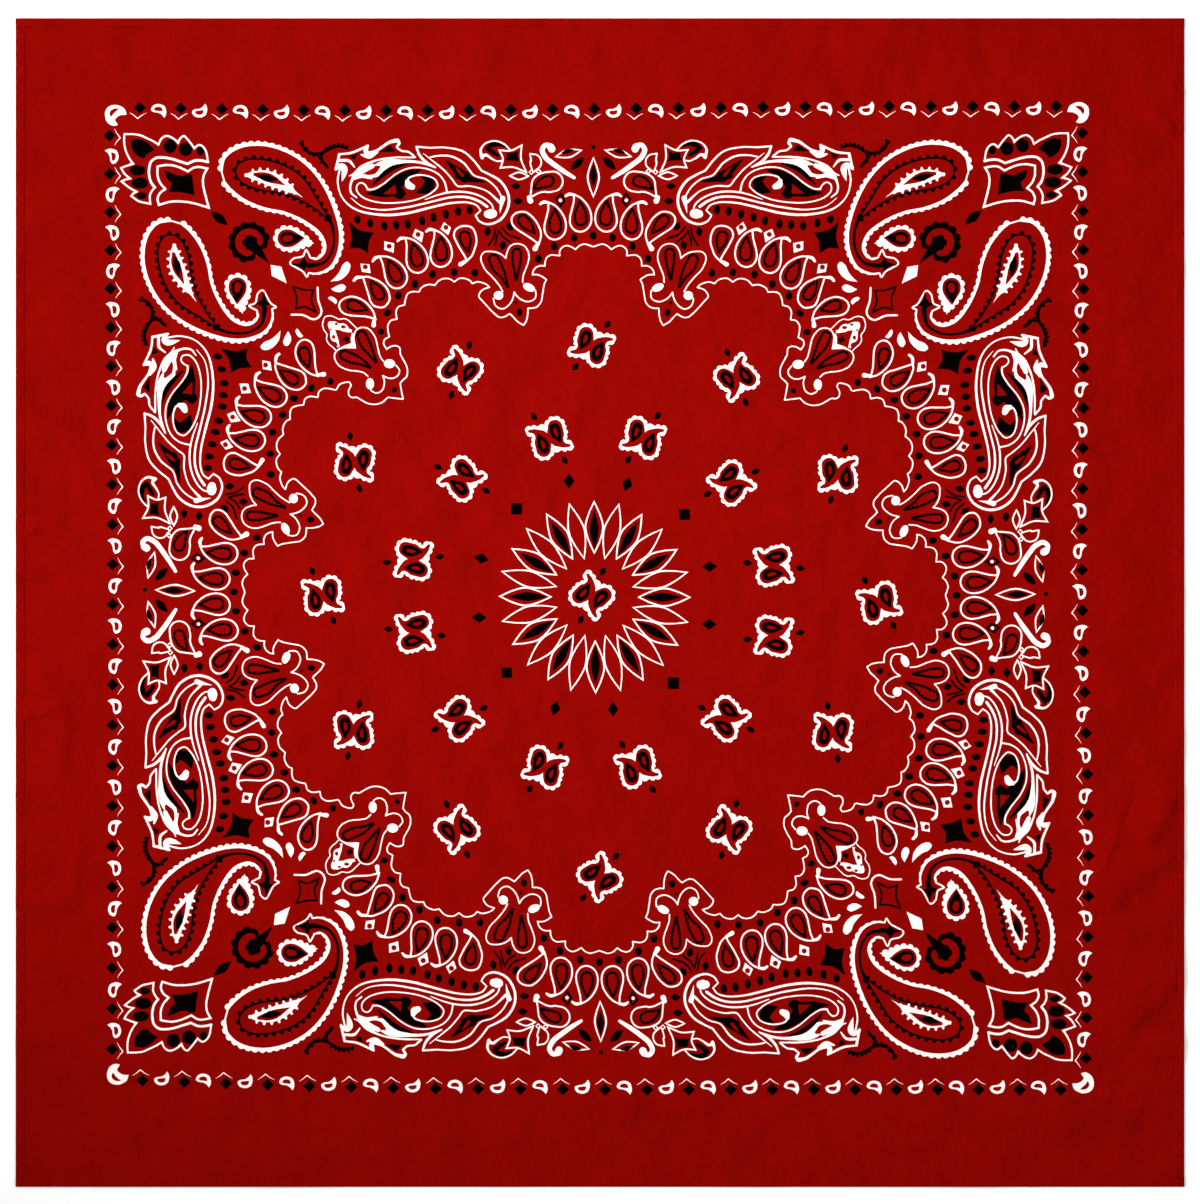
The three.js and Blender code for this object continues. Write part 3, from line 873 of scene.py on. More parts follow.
# White four-sided marks with a round hole
def squares():
    items = []
    for edge, hole in (
        (spots((-112.1, 159.4), (-107.6, 159.2), (-106.8, 154.5), (-111.4, 155.3)), -109.6 + 157.7j),
        (spots((-100.6, 170.4), (-95.5, 169.4), (-95.9, 164.5), (-100.6, 166)), -98.1 + 167.8j),
        (spots((-85.6, 176.5), (-81.4, 174.5), (-82.3, 169.5), (-87.1, 172.7)), -84.2 + 173.6j),
        (spots((-71.8, 179.9), (-68.2, 177), (-69.6, 173.1), (-73.6, 176.3)), -70.8 + 177.1j),
    ):
        items.append((whiteInk, np.array(edge)))
        items.append((groundInk, disc(hole, 1.25, 10)))
    return items


# Two drops head to tail; the dots lie along the X axis
def twin():
    one = ribbon(spots((2.9, 5.4), (0.3, 3.9), (-3.1, 2.8), (-6.5, 3.8), (-8.2, 5.9)),
        [3.5, 4.0, 3.4, 1.5, 0.7], step=0.6)
    white = frill(one, 2.4, 0.75, 1.3, 0.8)
    notch = disc(5.6 - 0.2j, 2.4)
    ring = ribbon(spots((2.6, 4.9), (0, 4.0), (-4.8, 3.3)), [2.3, 2.6, 2.1, 1.1, 0.1], step=0.6)
    hole = ribbon(spots((2.0, 4.7), (0.6, 4.1), (-1.6, 3.8)), [0.65, 0.85, 0.65, 0.1], step=0.6)
    items = []
    layers = (whiteInk, white), (whiteInk, notch), (groundInk, one), (blackInk, ring), (groundInk, hole)
    for ink, poly in layers:
        items += [(ink, poly), (ink, -poly)]
    for side in (1, -1):
        items.append((blackInk, almond(side * 10.7, side * 14.8, 2.6)))
    return items


twinColumns = ("x", "y", "turn", "mirrored")
twins = [
    (-1.4, 0.7, 65, True),
    (-21.3, 75.8, 125, True),
    (23.6, 76.2, 56, False),
    (65.9, 54.5, 25, False),
    (85.9, 15.0, 174, False),
    (85.6, -18.6, 7, True),
    (62.4, -57.8, 156, True),
    (19.6, -80.8, 124, True),
    (-24.7, -81.3, 54, False),
    (-65.4, -58.6, 24, False),
    (-86.4, -17.7, 174, False),
    (-86.9, 17.1, 7, True),
    (-63.3, 56.1, 154, True),
    (-0.9, 120.4, 53, False),
    (68.5, 105.0, 110, False),
    (116.9, 58.5, 74, False),
    (136.2, -3.1, 122, True),
    (113.4, -64.4, 100, True),
    (63.1, -110.3, 73, True),
    (0.8, -133.1, 51, True),
    (-67.2, -111.2, 112, False),
    (-116.2, -64.8, 77, False),
    (-130.5, -0.9, 113, True),
    (-114.8, 63.4, 100, True),
    (-63.9, 108.3, 70, True),
]


def daisy():
    items = []
    for k in range(12):
        way = cmath.exp(1j * math.radians(30 * k + 90))
        items += almondRing(way * 20, way * 46.6, 8.6)
        items.append((blackInk, almond(way * 23.5, way * 41, 4.0)))
    for k in range(12):
        way = cmath.exp(1j * math.radians(30 * k + 105))
        items += almondRing(way * 18.0, way * 47.0, 7.8)
    return items


# The black diamonds around the daisy; turn is that of the long diagonal
fieldDiamondColumns = ("x", "y", "turn", "long", "short")
fieldDiamonds = [
    (55.2, 14.6, 3, 3.4, 2.4),
    (43.4, 39.5, 48, 3.4, 3.4),
    (16.0, 54.0, 72, 3.4, 2.4),
    (-12.0, 55.4, 90, 3.4, 2.5),
    (-37.2, 41.9, 44, 3.6, 3.5),
    (-54.2, 18.0, -11, 3.5, 2.4),
    (-55.5, -10.2, 0, 3.4, 2.4),
    (-42.5, -36.4, 48, 3.3, 3.3),
    (-19.5, -53.1, 73, 3.5, 2.4),
    (8.2, -53.4, 90, 3.4, 2.4),
    (37.3, -40.9, 44, 3.7, 3.6),
    (54.7, -12.9, 0, 3.4, 2.4),
]


def field():
    items = []
    motif = twin()
    for row in twins:
        place = dict(zip(twinColumns, row))
        items += moved(motif, place["turn"], complex(place["x"], place["y"]), place["mirrored"])
    for row in fieldDiamonds:
        spot = dict(zip(fieldDiamondColumns, row))
        way = cmath.exp(1j * math.radians(spot["turn"]))
        corners = way * np.array([spot["long"], spot["short"] * 1j, -spot["long"], -spot["short"] * 1j])
        items.append((blackInk, complex(spot["x"], spot["y"]) + corners))
    return items


borderColumns = ("diamonds", "along", "outward", "firstTailOut", "path")
borderRows = [
    (23, 1, 1j, 0, spots((-218.4, 233.8), (-110.5, 232.6), (-1, 233.3), (109.9, 234.5), (219.9, 234.6))),
    (23, 1, -1j, 0, spots((-217.1, -231.4), (-107.2, -234.8), (4.1, -235.7), (113.9, -235.7),
        (222, -235.8))),
    (24, 1j, -1, 1, spots((-232.9, 220.6), (-232.2, 114.9), (-231.4, 5.9), (-231.6, -104.9),
        (-231.6, -216.4))),
    (24, 1j, 1, 1, spots((232.4, 221.8), (233.1, 114.1), (232.3, 3.1), (235.2, -109.3), (234.1, -220.8))),
]


# A small drop with its tail down to the right
def borderDrop():
    body = spots((-3.7, -0.5), (-2.7, 1.7), (0, 2.6), (2.8, 1.6), (3.8, -0.5), (3.8, -2.6),
        (2.8, -4.5), (1.7, -3.0), (-0.2, -1.9), (-2.4, -1.6))
    hole = spots((-2.1, -0.2), (-1.3, 0.8), (0.2, 1.1), (1.6, 0.5), (2.0, -1.1), (0.5, -0.9),
        (-1.4, -0.8))
    return [(whiteInk, cusped(body, [6], step=0.6)), (groundInk, cusped(hole, [4], step=0.6))]


# Diamonds and small drops by turns along the four sides
def border():
    items = []
    drop = borderDrop()
    for cells in borderRows:
        row = dict(zip(borderColumns, cells))
        along = row["along"]
        outward = row["outward"]
        places = spread(np.linspace(0, 1, 2 * row["diamonds"] - 1), row["path"])
        for at in places[::2]:
            items.append((blackInk, at + 2.75 * diamond))
            tip = at - outward * 5.1 - along * 1.1
            for end in (at - outward * 2.4 - along * 4.8, at - outward * 2.4 + along * 3.2):
                bend = tip * 0.5 + end * 0.5 + outward * 0.25
                items.append((whiteInk, ribbon([end, bend, tip], [0.25, 0.33, 0.42])))
        for i, at in enumerate(places[1::2]):
            tailOut = (i + row["firstTailOut"]) % 2
            middle = at - along * 0.9 - outward * (1.85 if tailOut else 0.45)
            for ink, poly in drop:
                rise = -poly.imag if tailOut else poly.imag
                items.append((ink, middle + poly.real * along + rise * outward))
    return items


def cornerFrame():
    edge = spots((-210, 205.8), (-206.4, 206.5), (-203, 206.4), (-199.2, 205.3), (-195.4, 203.5),
        (-192.5, 205.3), (-190.1, 205.6), (-186, 204.8), (-187.7, 201.7), (-188.2, 198.3),
        (-187.5, 194), (-186.5, 190.2), (-185.3, 185.9), (-189.6, 187.3), (-194.4, 188.5),
        (-199.2, 189), (-204, 188.8), (-209.3, 187.3), (-210, 190.2), (-208.8, 193.1), (-206.3, 195),
        (-208.8, 197.9), (-210, 201.2))
    filling = spots((-206.4, 203.7), (-203.5, 202.7), (-200.2, 201.2), (-197.8, 201), (-195.9, 201.9),
        (-193.5, 201.7), (-193.2, 198.3), (-192.3, 192.1), (-196.3, 193.1), (-200.6, 193.8),
        (-204.5, 193.7), (-203.3, 196.4), (-203, 197.9), (-205.2, 200))
    items = outlined(cusped(edge, [0, 4, 7, 12, 17, 20]), 1.15)
    items.append((blackInk, cusped(filling, [0, 3, 5, 7, 10, 12])))
    items.append((blackInk, almond(-184.3 + 184.2j, -176.5 + 177.8j, 4.0)))
    return items


# A corner's marks in all four corners, mirrored across the print's two middle lines
def inCorners(items, shifts):
    out = []
    for k, shift in enumerate(shifts):
        for ink, poly in items:
            copy = [poly, -np.conj(poly), np.conj(poly), -poly][k]
            out.append((ink, copy + shift))
    return out


# A seed with a round head and a pointed tip; radius is measured over its black edge
def toothedSeed(head, tip, radius):
    middle = head + (tip - head) * 0.45
    half = radius - 0.45
    return toothedRing(ribbon([head, middle, tip], [half, half * 0.97, half * 0.55, 0.0]))


# The medallion drop next to the diagonal, with its cap to the left
def sideCappedDrop():
    edge = spots((-110.8, 152.8), (-108.7, 153.1), (-106, 152.3), (-103.2, 151.1), (-100.8, 149.4),
        (-98.9, 147), (-97.9, 144.2), (-97.9, 141.8), (-99.1, 139.6), (-101.1, 138.2), (-103.2, 138.2),
        (-105.6, 139), (-107.2, 141.1), (-108, 143.8), (-109.1, 147.2))
    items = outlined(cusped(edge, [0]), 0.98)
    items += stroke(whiteInk, [0.8, 0.9, 0.7], (-115.1, 151.1), (-113.8, 152.5), (-110.8, 152.8))
    items += toothedSeed(-102.8 + 144.4j, -106.9 + 150.7j, 2.8)
    return items


# A medallion drop whose tail points inwards
def tailedDrop(edge, tail, halves, head, tip):
    items = outlined(cusped(edge, [0]), 0.98)
    items.append((whiteInk, ribbon(tail, halves)))
    return items + toothedSeed(head, tip, 2.75)


def tailedDrops():
    side = spots((-104.6, 132.4), (-105.6, 135.9), (-107.4, 138.6), (-109.8, 141), (-112.8, 142.7),
        (-116.3, 143.4), (-119.4, 142.6), (-121.6, 140.9), (-122.3, 138.8), (-121.5, 136.4),
        (-119.7, 134.9), (-116.7, 134.1), (-112.2, 133.9), (-108.8, 133.6))
    upper = spots((-60.7, 160.9), (-62.2, 163.9), (-63.9, 166.5), (-65.8, 170), (-67, 173),
        (-66.3, 175.8), (-64, 177.5), (-61.1, 178), (-58.3, 177.1), (-56.8, 174.9), (-56, 170.4),
        (-56.8, 167), (-58.2, 163.5))
    middle = spots((-26.1, 169), (-30.2, 172.1), (-35.1, 175.2), (-37.6, 177), (-39.1, 179.2),
        (-39.2, 181.9), (-37.6, 183.9), (-35.1, 184.8), (-32.6, 184.7), (-30.5, 183.5), (-28.3, 181.4),
        (-26.5, 178.6), (-25.2, 175.5), (-25.1, 172.7))
    tails = [
        spots((-105.3, 132.4), (-105.6, 129.6)),
        spots((-60.7, 161.2), (-63.8, 159.3)),
        spots((-26.5, 169.5), (-27.9, 167)),
    ]
    items = tailedDrop(side, tails[0], [0.8, 1.25], -116 + 139.2j, -109 + 137.1j)
    items += tailedDrop(upper, tails[1], [0.8, 1.2], -61.8 + 172.7j, -60.1 + 165.5j)
    items += tailedDrop(middle, tails[2], [0.9, 1.4], -33.7 + 180.6j, -28.3 + 174.6j)
    return items


cappedDrops = [
    {"at": -73.2 + 166.2j, "turn": 0},
    {"at": -85.2 + 163.2j, "turn": 12.6},
    {"at": -95.8 + 155.4j, "turn": 25},
    {"at": -18.4 + 179.6j, "turn": 0},
    {"at": -6.2 + 183.4j, "turn": 0},
]


# Drops, dots and scalloped lines round one eighth of the medallion
def lobes():
    items = sideCappedDrop() + tailedDrops() + squares()
    for row in cappedDrops:
        items += moved(cappedDrop(), turn=row["turn"], to=row["at"])
    items += [(blackInk, oval(at, 1.5, 1.85)) for at in spots((-56.8, 155.2), (-66.8, 155.5),
        (-77.2, 154.5), (-85.7, 149.6), (-93.7, 144), (-9.2, 172.3), (-18.8, 168.2), (-26.3, 162.1))]
    items += ovals(blackInk, (0.1, 173.3, 1.4, 1.8), (-98.9, 135.6, 1.9, 1.4, 30),
        (-102.2, 126.5, 1.7, 1.35))
    items += whiteLine(spots((-0.2, 168), (-2.1, 168.7), (-4.3, 169.2), (-6.7, 168.4), (-8.6, 166.6),
        (-10.4, 167.8), (-12.9, 168.5), (-14.7, 167.8), (-16.1, 165.9), (-16.1, 163.6), (-18.4, 163.9),
        (-20.3, 163.9), (-22.2, 162.8), (-23.1, 160.9), (-23.2, 158.6), (-25.2, 158.8), (-27.4, 158),
        (-28.8, 156.3), (-29.2, 154.3)), [4, 9, 14])
    items += whiteLine(spots((-49.8, 148.3), (-51.2, 149.6), (-53.3, 150.5), (-55.6, 150.9),
        (-58.1, 150.1), (-59.5, 151.6), (-61.7, 152.5), (-64.3, 152.5), (-66.8, 150.8), (-69, 152.2),
        (-71.5, 152.4), (-74, 151.5), (-76.2, 149.1), (-78.6, 149.5), (-81.2, 148.8), (-83, 147.4),
        (-83.6, 145.9), (-87.1, 145.9), (-89.1, 145), (-90.3, 142.2), (-90.7, 139.5), (-93.6, 138.6),
        (-94.8, 136.3), (-94.4, 132.6), (-97.1, 132), (-98.7, 129.7), (-98.7, 127), (-98.1, 124.2)),
        [4, 8, 12, 16, 20, 23])
    return items


def medallion():
    items = eightfold(lobes() + lily())
    items += inCorners(crown() + diagonalLily(), [0, 0, 0, 0])
    return items


# How far each ink's edge is moved outwards from its drawn outline
inkSpread = {groundInk: 0.04, whiteInk: -0.17, blackInk: 0.17}


# Every mark in order, later ones over earlier ones; the border and corner marks need no skew
def wholePrint():
    inner = eightfold(bigPaisley() + smallDrop())
    inner += inCorners(snail() + squareTrims(), [0, 0, 0, 0])
    inner += eightfold(threeDrops() + twig() + dotRow() + feather() + sideCentre())
    inner += fourfold(sideAxis())
    inner += medallion() + daisy() + field()
    outer = border()
    outer += inCorners(cornerCurl(), [0, 0.5 + 1.3j, 1.0 + 1.8j, 2.8 - 2.3j])
    outer += inCorners(cornerLeaf() + cornerFrame(), [0, -0.2 + 0.4j, 1.6 + 3.2j, 1.6 - 0.5j])
    placed = [(ink, poly + skewAt(poly)) for ink, poly in inner] + outer
    return [(ink, offset(np.asarray(poly, complex), inkSpread[ink])) for ink, poly in placed]


# The cloth's mesh
def thinned(poly, tolerance):
    # drops points that lie on the line between the neighbours that stay
    keep = [0]
    start = 0
    n = len(poly)
    end = 2
    while end <= n:
        a, b = poly[start], poly[end % n]
        between = poly[start + 1:end]
        length = abs(b - a)
        if length < 1e-6:
            far = np.max(abs(between - a))
        else:
            far = np.max(np.abs(np.imag((between - a) * np.conj(b - a)))) / length
        if far > tolerance or length > 9:
            keep.append(end - 1)
            start = end - 1
        end += 1
    return poly[keep]


def printOutlines():
    outlines = []
    for ink, poly in wholePrint():
        placed = thinned(poly + printMiddle, cloth["thinning"])
        if len(placed) > 2:
            outlines.append((ink, placed))
    return outlines


def gridPoints(outlines):
    # free points between the marks: dense at the creases, wide apart in the flat middle
    half = cloth["panelHalf"]
    cells = int(half / cloth["gridStep"] / 2) * 4
    lines = np.linspace(-half, half, cells + 1)
    column, row = np.meshgrid(np.arange(1, cells), np.arange(1, cells))
    column, row = column.ravel(), row.ravel()
    x, y = lines[column], lines[row]
    inEdge = np.maximum(abs(x), abs(y)) > half - cloth["edgeBand"]
    everySecond = (column % 2 == 0) & (row % 2 == 0)
    everyFourth = (column % 4 == 0) & (row % 4 == 0)
    wanted = everyFourth | (inEdge & everySecond) | nearCrease(x, y)
    column, row, x, y = column[wanted], row[wanted], x[wanted], y[wanted]
    # a grid point is left out where an outline runs close by
    taken = np.zeros((cells + 2, cells + 2), bool)
    for _, poly in outlines:
        i = ((poly.real + half) / (2 * half) * cells + 0.5).astype(int)
        j = ((poly.imag + half) / (2 * half) * cells + 0.5).astype(int)
        taken[j, i] = True
    free = ~taken[row, column]
    return x[free] + 1j * y[free]


def borderPoints():
    half = cloth["panelHalf"]
    count = int(2 * half / cloth["gridStep"])
    side = np.linspace(-half, half, count + 1)[:-1] - 1j * half
    return np.concatenate([side * turn for turn in (1, 1j, -1, -1j)])


def triangulate(loops, free):
    # one triangle mesh that follows every loop
    points = np.concatenate([*loops, free])
    edges = []
    start = 0
    for loop in loops:
        n = len(loop)
        edges += [(start + i, start + (i + 1) % n) for i in range(n)]
        start += n
    flat = [Vector((p.real, p.imag)) for p in points]
    coords, _, faces, *_ = delaunay_2d_cdt(flat, edges, [], 0, 1e-4)
    found = np.array([(c.x, c.y) for c in coords])
    triangles = np.array([f for f in faces if len(f) == 3])
    a, b, c = (found[triangles[:, i]] for i in range(3))
    twice = (b[:, 0] - a[:, 0]) * (c[:, 1] - a[:, 1]) - (b[:, 1] - a[:, 1]) * (c[:, 0] - a[:, 0])
    triangles[twice < 0] = triangles[twice < 0][:, ::-1]
    return found, triangles[abs(twice) > 1e-9]


def inkOfTriangles(points, triangles, outlines):
    # later marks are printed over earlier ones; a triangle is in a mark that winds round its middle
    middle = points[triangles].mean(axis=1)
    order = np.argsort(middle[:, 0])
    x = middle[order, 0]
    y = middle[order, 1]
    ink = np.full(len(x), groundInk)
    for mark, poly in outlines:
        low, high = np.searchsorted(x, [poly.real.min(), poly.real.max()])
        if high <= low:
            continue
        near = np.arange(low, high)
        near = near[(y[low:high] > poly.imag.min()) & (y[low:high] < poly.imag.max())]
        if len(near) == 0:
            continue
        px, py = x[near][:, None], y[near][:, None]
        ax, ay = poly.real[None, :], poly.imag[None, :]
        bx, by = np.roll(poly.real, -1)[None, :], np.roll(poly.imag, -1)[None, :]
        side = (bx - ax) * (py - ay) - (px - ax) * (by - ay)
        up = (ay <= py) & (by > py) & (side > 0)
        down = (ay > py) & (by <= py) & (side < 0)
        winding = up.sum(axis=1) - down.sum(axis=1)
        ink[near[winding > 0]] = mark
    out = np.empty_like(ink)
    out[order] = ink
    return out


def makePanel():
    outlines = printOutlines()
    border = borderPoints()
    print("print:", len(outlines), "marks,", sum(len(p) for _, p in outlines), "outline points")
    points, triangles = triangulate([poly for _, poly in outlines] + [border], gridPoints(outlines))
    ink = inkOfTriangles(points, triangles, outlines)
    print("panel print:", len(triangles), "triangles")
    half = cloth["panelHalf"]

    # the plain underside shares the rim's points
    onRim = np.nonzero(np.maximum(abs(points[:, 0]), abs(points[:, 1])) > half - 1e-3)[0]
    angle = rimPlace(points[onRim], half)
    rim = onRim[np.argsort(angle)]
    step = cloth["undersideStep"]
    cells = int(2 * half / step)
    lines = np.linspace(-half, half, cells + 1)[1:-1]
    gx, gy = np.meshgrid(lines, lines)
    rimLoop = points[rim, 0] + 1j * points[rim, 1]
    lowPoints, lowTriangles = triangulate([rimLoop], (gx + 1j * gy).ravel())

    topCount = len(points)
    x, y = points.T
    top = np.column_stack([x, y, topHeight(x, y)])
    lx, ly = lowPoints.T
    low = np.column_stack([lx, ly, undersideHeight(lx, ly)])
    lowTriangles = lowTriangles[:, ::-1] + topCount
    lowRim = np.nonzero(np.maximum(abs(lx), abs(ly)) > half - 1e-3)[0]
    lowRim = lowRim[np.argsort(rimPlace(lowPoints[lowRim], half))] + topCount
    walls = []
    n = len(rim)
    for i in range(n):
        k = (i + 1) % n
        walls.append((rim[i], lowRim[i], lowRim[k]))
        walls.append((rim[i], lowRim[k], rim[k]))
    faces = np.concatenate([triangles, lowTriangles, np.array(walls)])
    inks = np.concatenate([ink, np.full(len(lowTriangles) + len(walls), groundInk)])
    print("panel in all:", len(faces), "triangles")
    vertices = np.concatenate([top, low]) * mm
    piece = meshPiece("bandana_cloth", vertices, faces)
    mesh = piece.data
    attribute = mesh.attributes.new("ink", "FLOAT", "FACE")
    attribute.data.foreach_set("value", inks.astype(np.float32))
    isUnder = np.arange(len(faces)) >= len(triangles)
    normals = np.concatenate([slopeNormals(x, y), -slopeNormals(lx, ly)])
    mesh.normals_split_custom_set_from_vertices(normals.tolist())
    bakeMap(mesh, vertices, faces, isUnder)
    return piece


def rimPlace(points, half):
    # how far round the square's rim each point lies, turning left from the lower left corner
    x, y = points.T
    bottom = y < -half + 1e-3
    right = x > half - 1e-3
    top = y > half - 1e-3
    place = np.where(bottom & ~right, x + half, 0)
    place = np.where(right & ~top, 2 * half + y + half, place)
    place = np.where(top & (x > -half + 1e-3), 4 * half + half - x, place)
    left = (x < -half + 1e-3) & ~bottom
    return np.where(left, 6 * half + half - y, place)


def addObject(name, data):
    made = bpy.data.objects.new(name, data)
    bpy.context.scene.collection.objects.link(made)
    return made


def meshPiece(name, vertices, faces):
    mesh = bpy.data.meshes.new(name)
    mesh.from_pydata(vertices.tolist(), [], faces.tolist())
    mesh.validate()
    mesh.polygons.foreach_set("use_smooth", np.ones(len(mesh.polygons), bool))
    mesh.update()
    return addObject(name, mesh)


def bakeMap(mesh, vertices, faces, isUnder):
    # the printed face fills most of the map, and the plain underside keeps a narrow strip
    layer = mesh.uv_layers.new(name="OFBake")
    corners = faces.ravel()
    span = cloth["side"] * mm
    u = vertices[corners, 0] / span + 0.5
    v = vertices[corners, 1] / span + 0.5
    under = np.repeat(isUnder, 3) > 0
    inset, faceShare = 0.005, 0.94
    stripStart, stripShare = 0.955, 0.04
    u = np.where(under, stripStart + u * stripShare, inset + u * faceShare)
    v = inset + v * faceShare
    layer.data.foreach_set("uv", np.column_stack([u, v]).astype(np.float32).ravel())


hemPiece = {
    "width": 4.5,  # its inner edge lies over the panel's rim
    "rise": 0.2,
    "step": 1.5,
    "waver": 0.05,
}

# A hem's section: s runs outwards as a share of its width, low and lift are shares of the ground
# height under its middle and of its own rise above that
hemSection = [
    (0.02, 0, 0),
    (0.95, 0, 0),
    (0.99, 0.2, 0),
    (1.0, 0.45, 0.1),
    (0.985, 0.7, 0.3),
    (0.94, 0.9, 0.6),
    (0.86, 1.0, 0.85),
    (0.7, 1.0, 1.0),
    (0.5, 1.0, 0.75),
    (0.32, 1.0, 0.5),
    (0.14, 1.0, 0.28),
    (0.0, 1.0, 0.1),
]


def hemWaver(reach, seed):
    return sum(math.sin(reach / wave + seed * 1.7 + k) for k, wave in enumerate((5.3, 8.9, 17.0))) / 3


def makeHem(name, turn, half):
    # a strip along one edge; it is drawn along the top edge and turned into place
    spin = 1j**turn
    outer = cloth["side"] / 2
    inner = outer - hemPiece["width"]
    count = int(2 * half / hemPiece["step"])
    points = []
    for i in range(count + 1):
        reach = half - 2 * half * i / count
        crest = complex(reach, outer - hemPiece["width"] / 2) * spin
        ground = float(topHeight(crest.real, crest.imag))
        rise = hemPiece["rise"] + hemPiece["waver"] * hemWaver(reach, turn)
        for s, low, lift in hemSection:
            spot = complex(reach, inner + s * hemPiece["width"]) * spin
            points.append((spot.real, spot.imag, low * ground + lift * rise))
    width = len(hemSection)
    faces = []
    for i in range(count):
        for j in range(width):
            k = (j + 1) % width
            a, b = i * width + j, i * width + k
            faces.append((a, a + width, b + width))
            faces.append((a, b + width, b))
    end = count * width
    for j in range(1, width - 1):
        faces.append((0, j, j + 1))
        faces.append((end, end + j + 1, end + j))
    return meshPiece(name, np.array(points) * mm, np.array(faces))


def setInputs(node, values):
    for key, value in values.items():
        node.inputs[key].default_value = value


def addNode(tree, kind, place, inputs={}, **settings):
    node = tree.nodes.new(kind)
    node.location = (place[0] * 190, place[1] * -160)
    for key, value in settings.items():
        setattr(node, key, value)
    setInputs(node, inputs)
    return node


def join(tree, *rows):
    for start, leaving, end, entering in rows:
        tree.links.new(start.outputs[leaving], end.inputs[entering])


# A node group with its sockets and its end nodes
def newGroup(name, kind, inputs, outputs, socketKinds={}):
    group = bpy.data.node_groups.new(name, kind + "NodeTree")
    for side, names in (("INPUT", inputs), ("OUTPUT", outputs)):
        for socket in names:
            socketType = "NodeSocket" + socketKinds.get(socket, "Float")
            group.interface.new_socket(socket, in_out=side, socket_type=socketType)
    return group, addNode(group, "NodeGroupInput", (0, 0)), addNode(group, "NodeGroupOutput", (8, 0))


stitching = {
    "fromEdge": 3.4,
    "pitch": 2.8,
    "length": 2.2,
    "thread": 0.28,
    "sides": 6,
    "sunk": 0.11,  # how deep the thread lies in the cloth
}


# A row of stitches along a line of edges: a bead for each, drawn out along the line
def makeStitchTree():
    tree, source, result = newGroup(
        "stitchRow",
        "Geometry",
        ("Geometry", "Pitch", "Stitch Length", "Thread", "Material"),
        ("Geometry",),
        {"Geometry": "Geometry", "Material": "Material"},
    )
    line = addNode(tree, "GeometryNodeMeshToCurve", (1, 0))
    spaced = addNode(tree, "GeometryNodeResampleCurve", (2, 0), mode="LENGTH")
    beadInputs = {"Segments": stitching["sides"], "Rings": stitching["sides"], "Radius": 0.5}
    bead = addNode(tree, "GeometryNodeMeshUVSphere", (2, 2), beadInputs)
    tangent = addNode(tree, "GeometryNodeInputTangent", (2, 4))
    turned = addNode(tree, "FunctionNodeAlignRotationToVector", (3, 4), axis="Z")
    drawn = addNode(tree, "ShaderNodeCombineXYZ", (3, 3))
    placed = addNode(tree, "GeometryNodeInstanceOnPoints", (4, 0))
    real = addNode(tree, "GeometryNodeRealizeInstances", (5, 0))
    finish = addNode(tree, "GeometryNodeSetMaterial", (6, 0))
    join(
        tree,
        (source, "Geometry", line, "Mesh"),
        (line, "Curve", spaced, "Curve"),
        (source, "Pitch", spaced, "Length"),
        (spaced, "Curve", placed, "Points"),
        (bead, "Mesh", placed, "Instance"),
        (tangent, "Tangent", turned, "Vector"),
        (turned, "Rotation", placed, "Rotation"),
        (source, "Thread", drawn, "X"),
        (source, "Thread", drawn, "Y"),
        (source, "Stitch Length", drawn, "Z"),
        (drawn, "Vector", placed, "Scale"),
        (placed, "Instances", real, "Geometry"),
        (real, "Geometry", finish, "Geometry"),
        (source, "Material", finish, "Material"),
        (finish, "Geometry", result, "Geometry"),
    )
    return tree


def makeStitches(name, turn, tree, material):
    outer = cloth["side"] / 2
    inset = outer - stitching["fromEdge"]
    reach = outer - 2 * stitching["fromEdge"]
    spin = 1j**turn
    along = np.linspace(reach, -reach, int(2 * reach / hemPiece["step"]) + 1)
    places = (along + 1j * inset) * spin
    crest = (along + 1j * (outer - hemPiece["width"] / 2)) * spin
    top = topHeight(crest.real, crest.imag) + hemPiece["rise"] - stitching["sunk"]
    points = np.stack([places.real, places.imag, top], axis=1) * mm
    path = bpy.data.meshes.new(name + "_path")
    path.from_pydata(points.tolist(), [(i, i + 1) for i in range(len(points) - 1)], [])
    row = addObject(name + "_path", path)
    maker = row.modifiers.new("stitchRow", "NODES")
    maker.node_group = tree
    values = {
        "Pitch": stitching["pitch"] * mm,
        "Stitch Length": stitching["length"] * mm,
        "Thread": stitching["thread"] * mm,
        "Material": material,
    }
    for item in tree.interface.items_tree:
        if item.in_out == "INPUT" and item.name in values:
            maker[item.identifier] = values[item.name]
    evaluated = row.evaluated_get(bpy.context.evaluated_depsgraph_get())
    mesh = bpy.data.meshes.new_from_object(evaluated)
    mesh.name = name
    row.modifiers.remove(maker)
    bpy.data.objects.remove(row)
    for polygon in mesh.polygons:
        polygon.use_smooth = True
    return addObject(name, mesh)


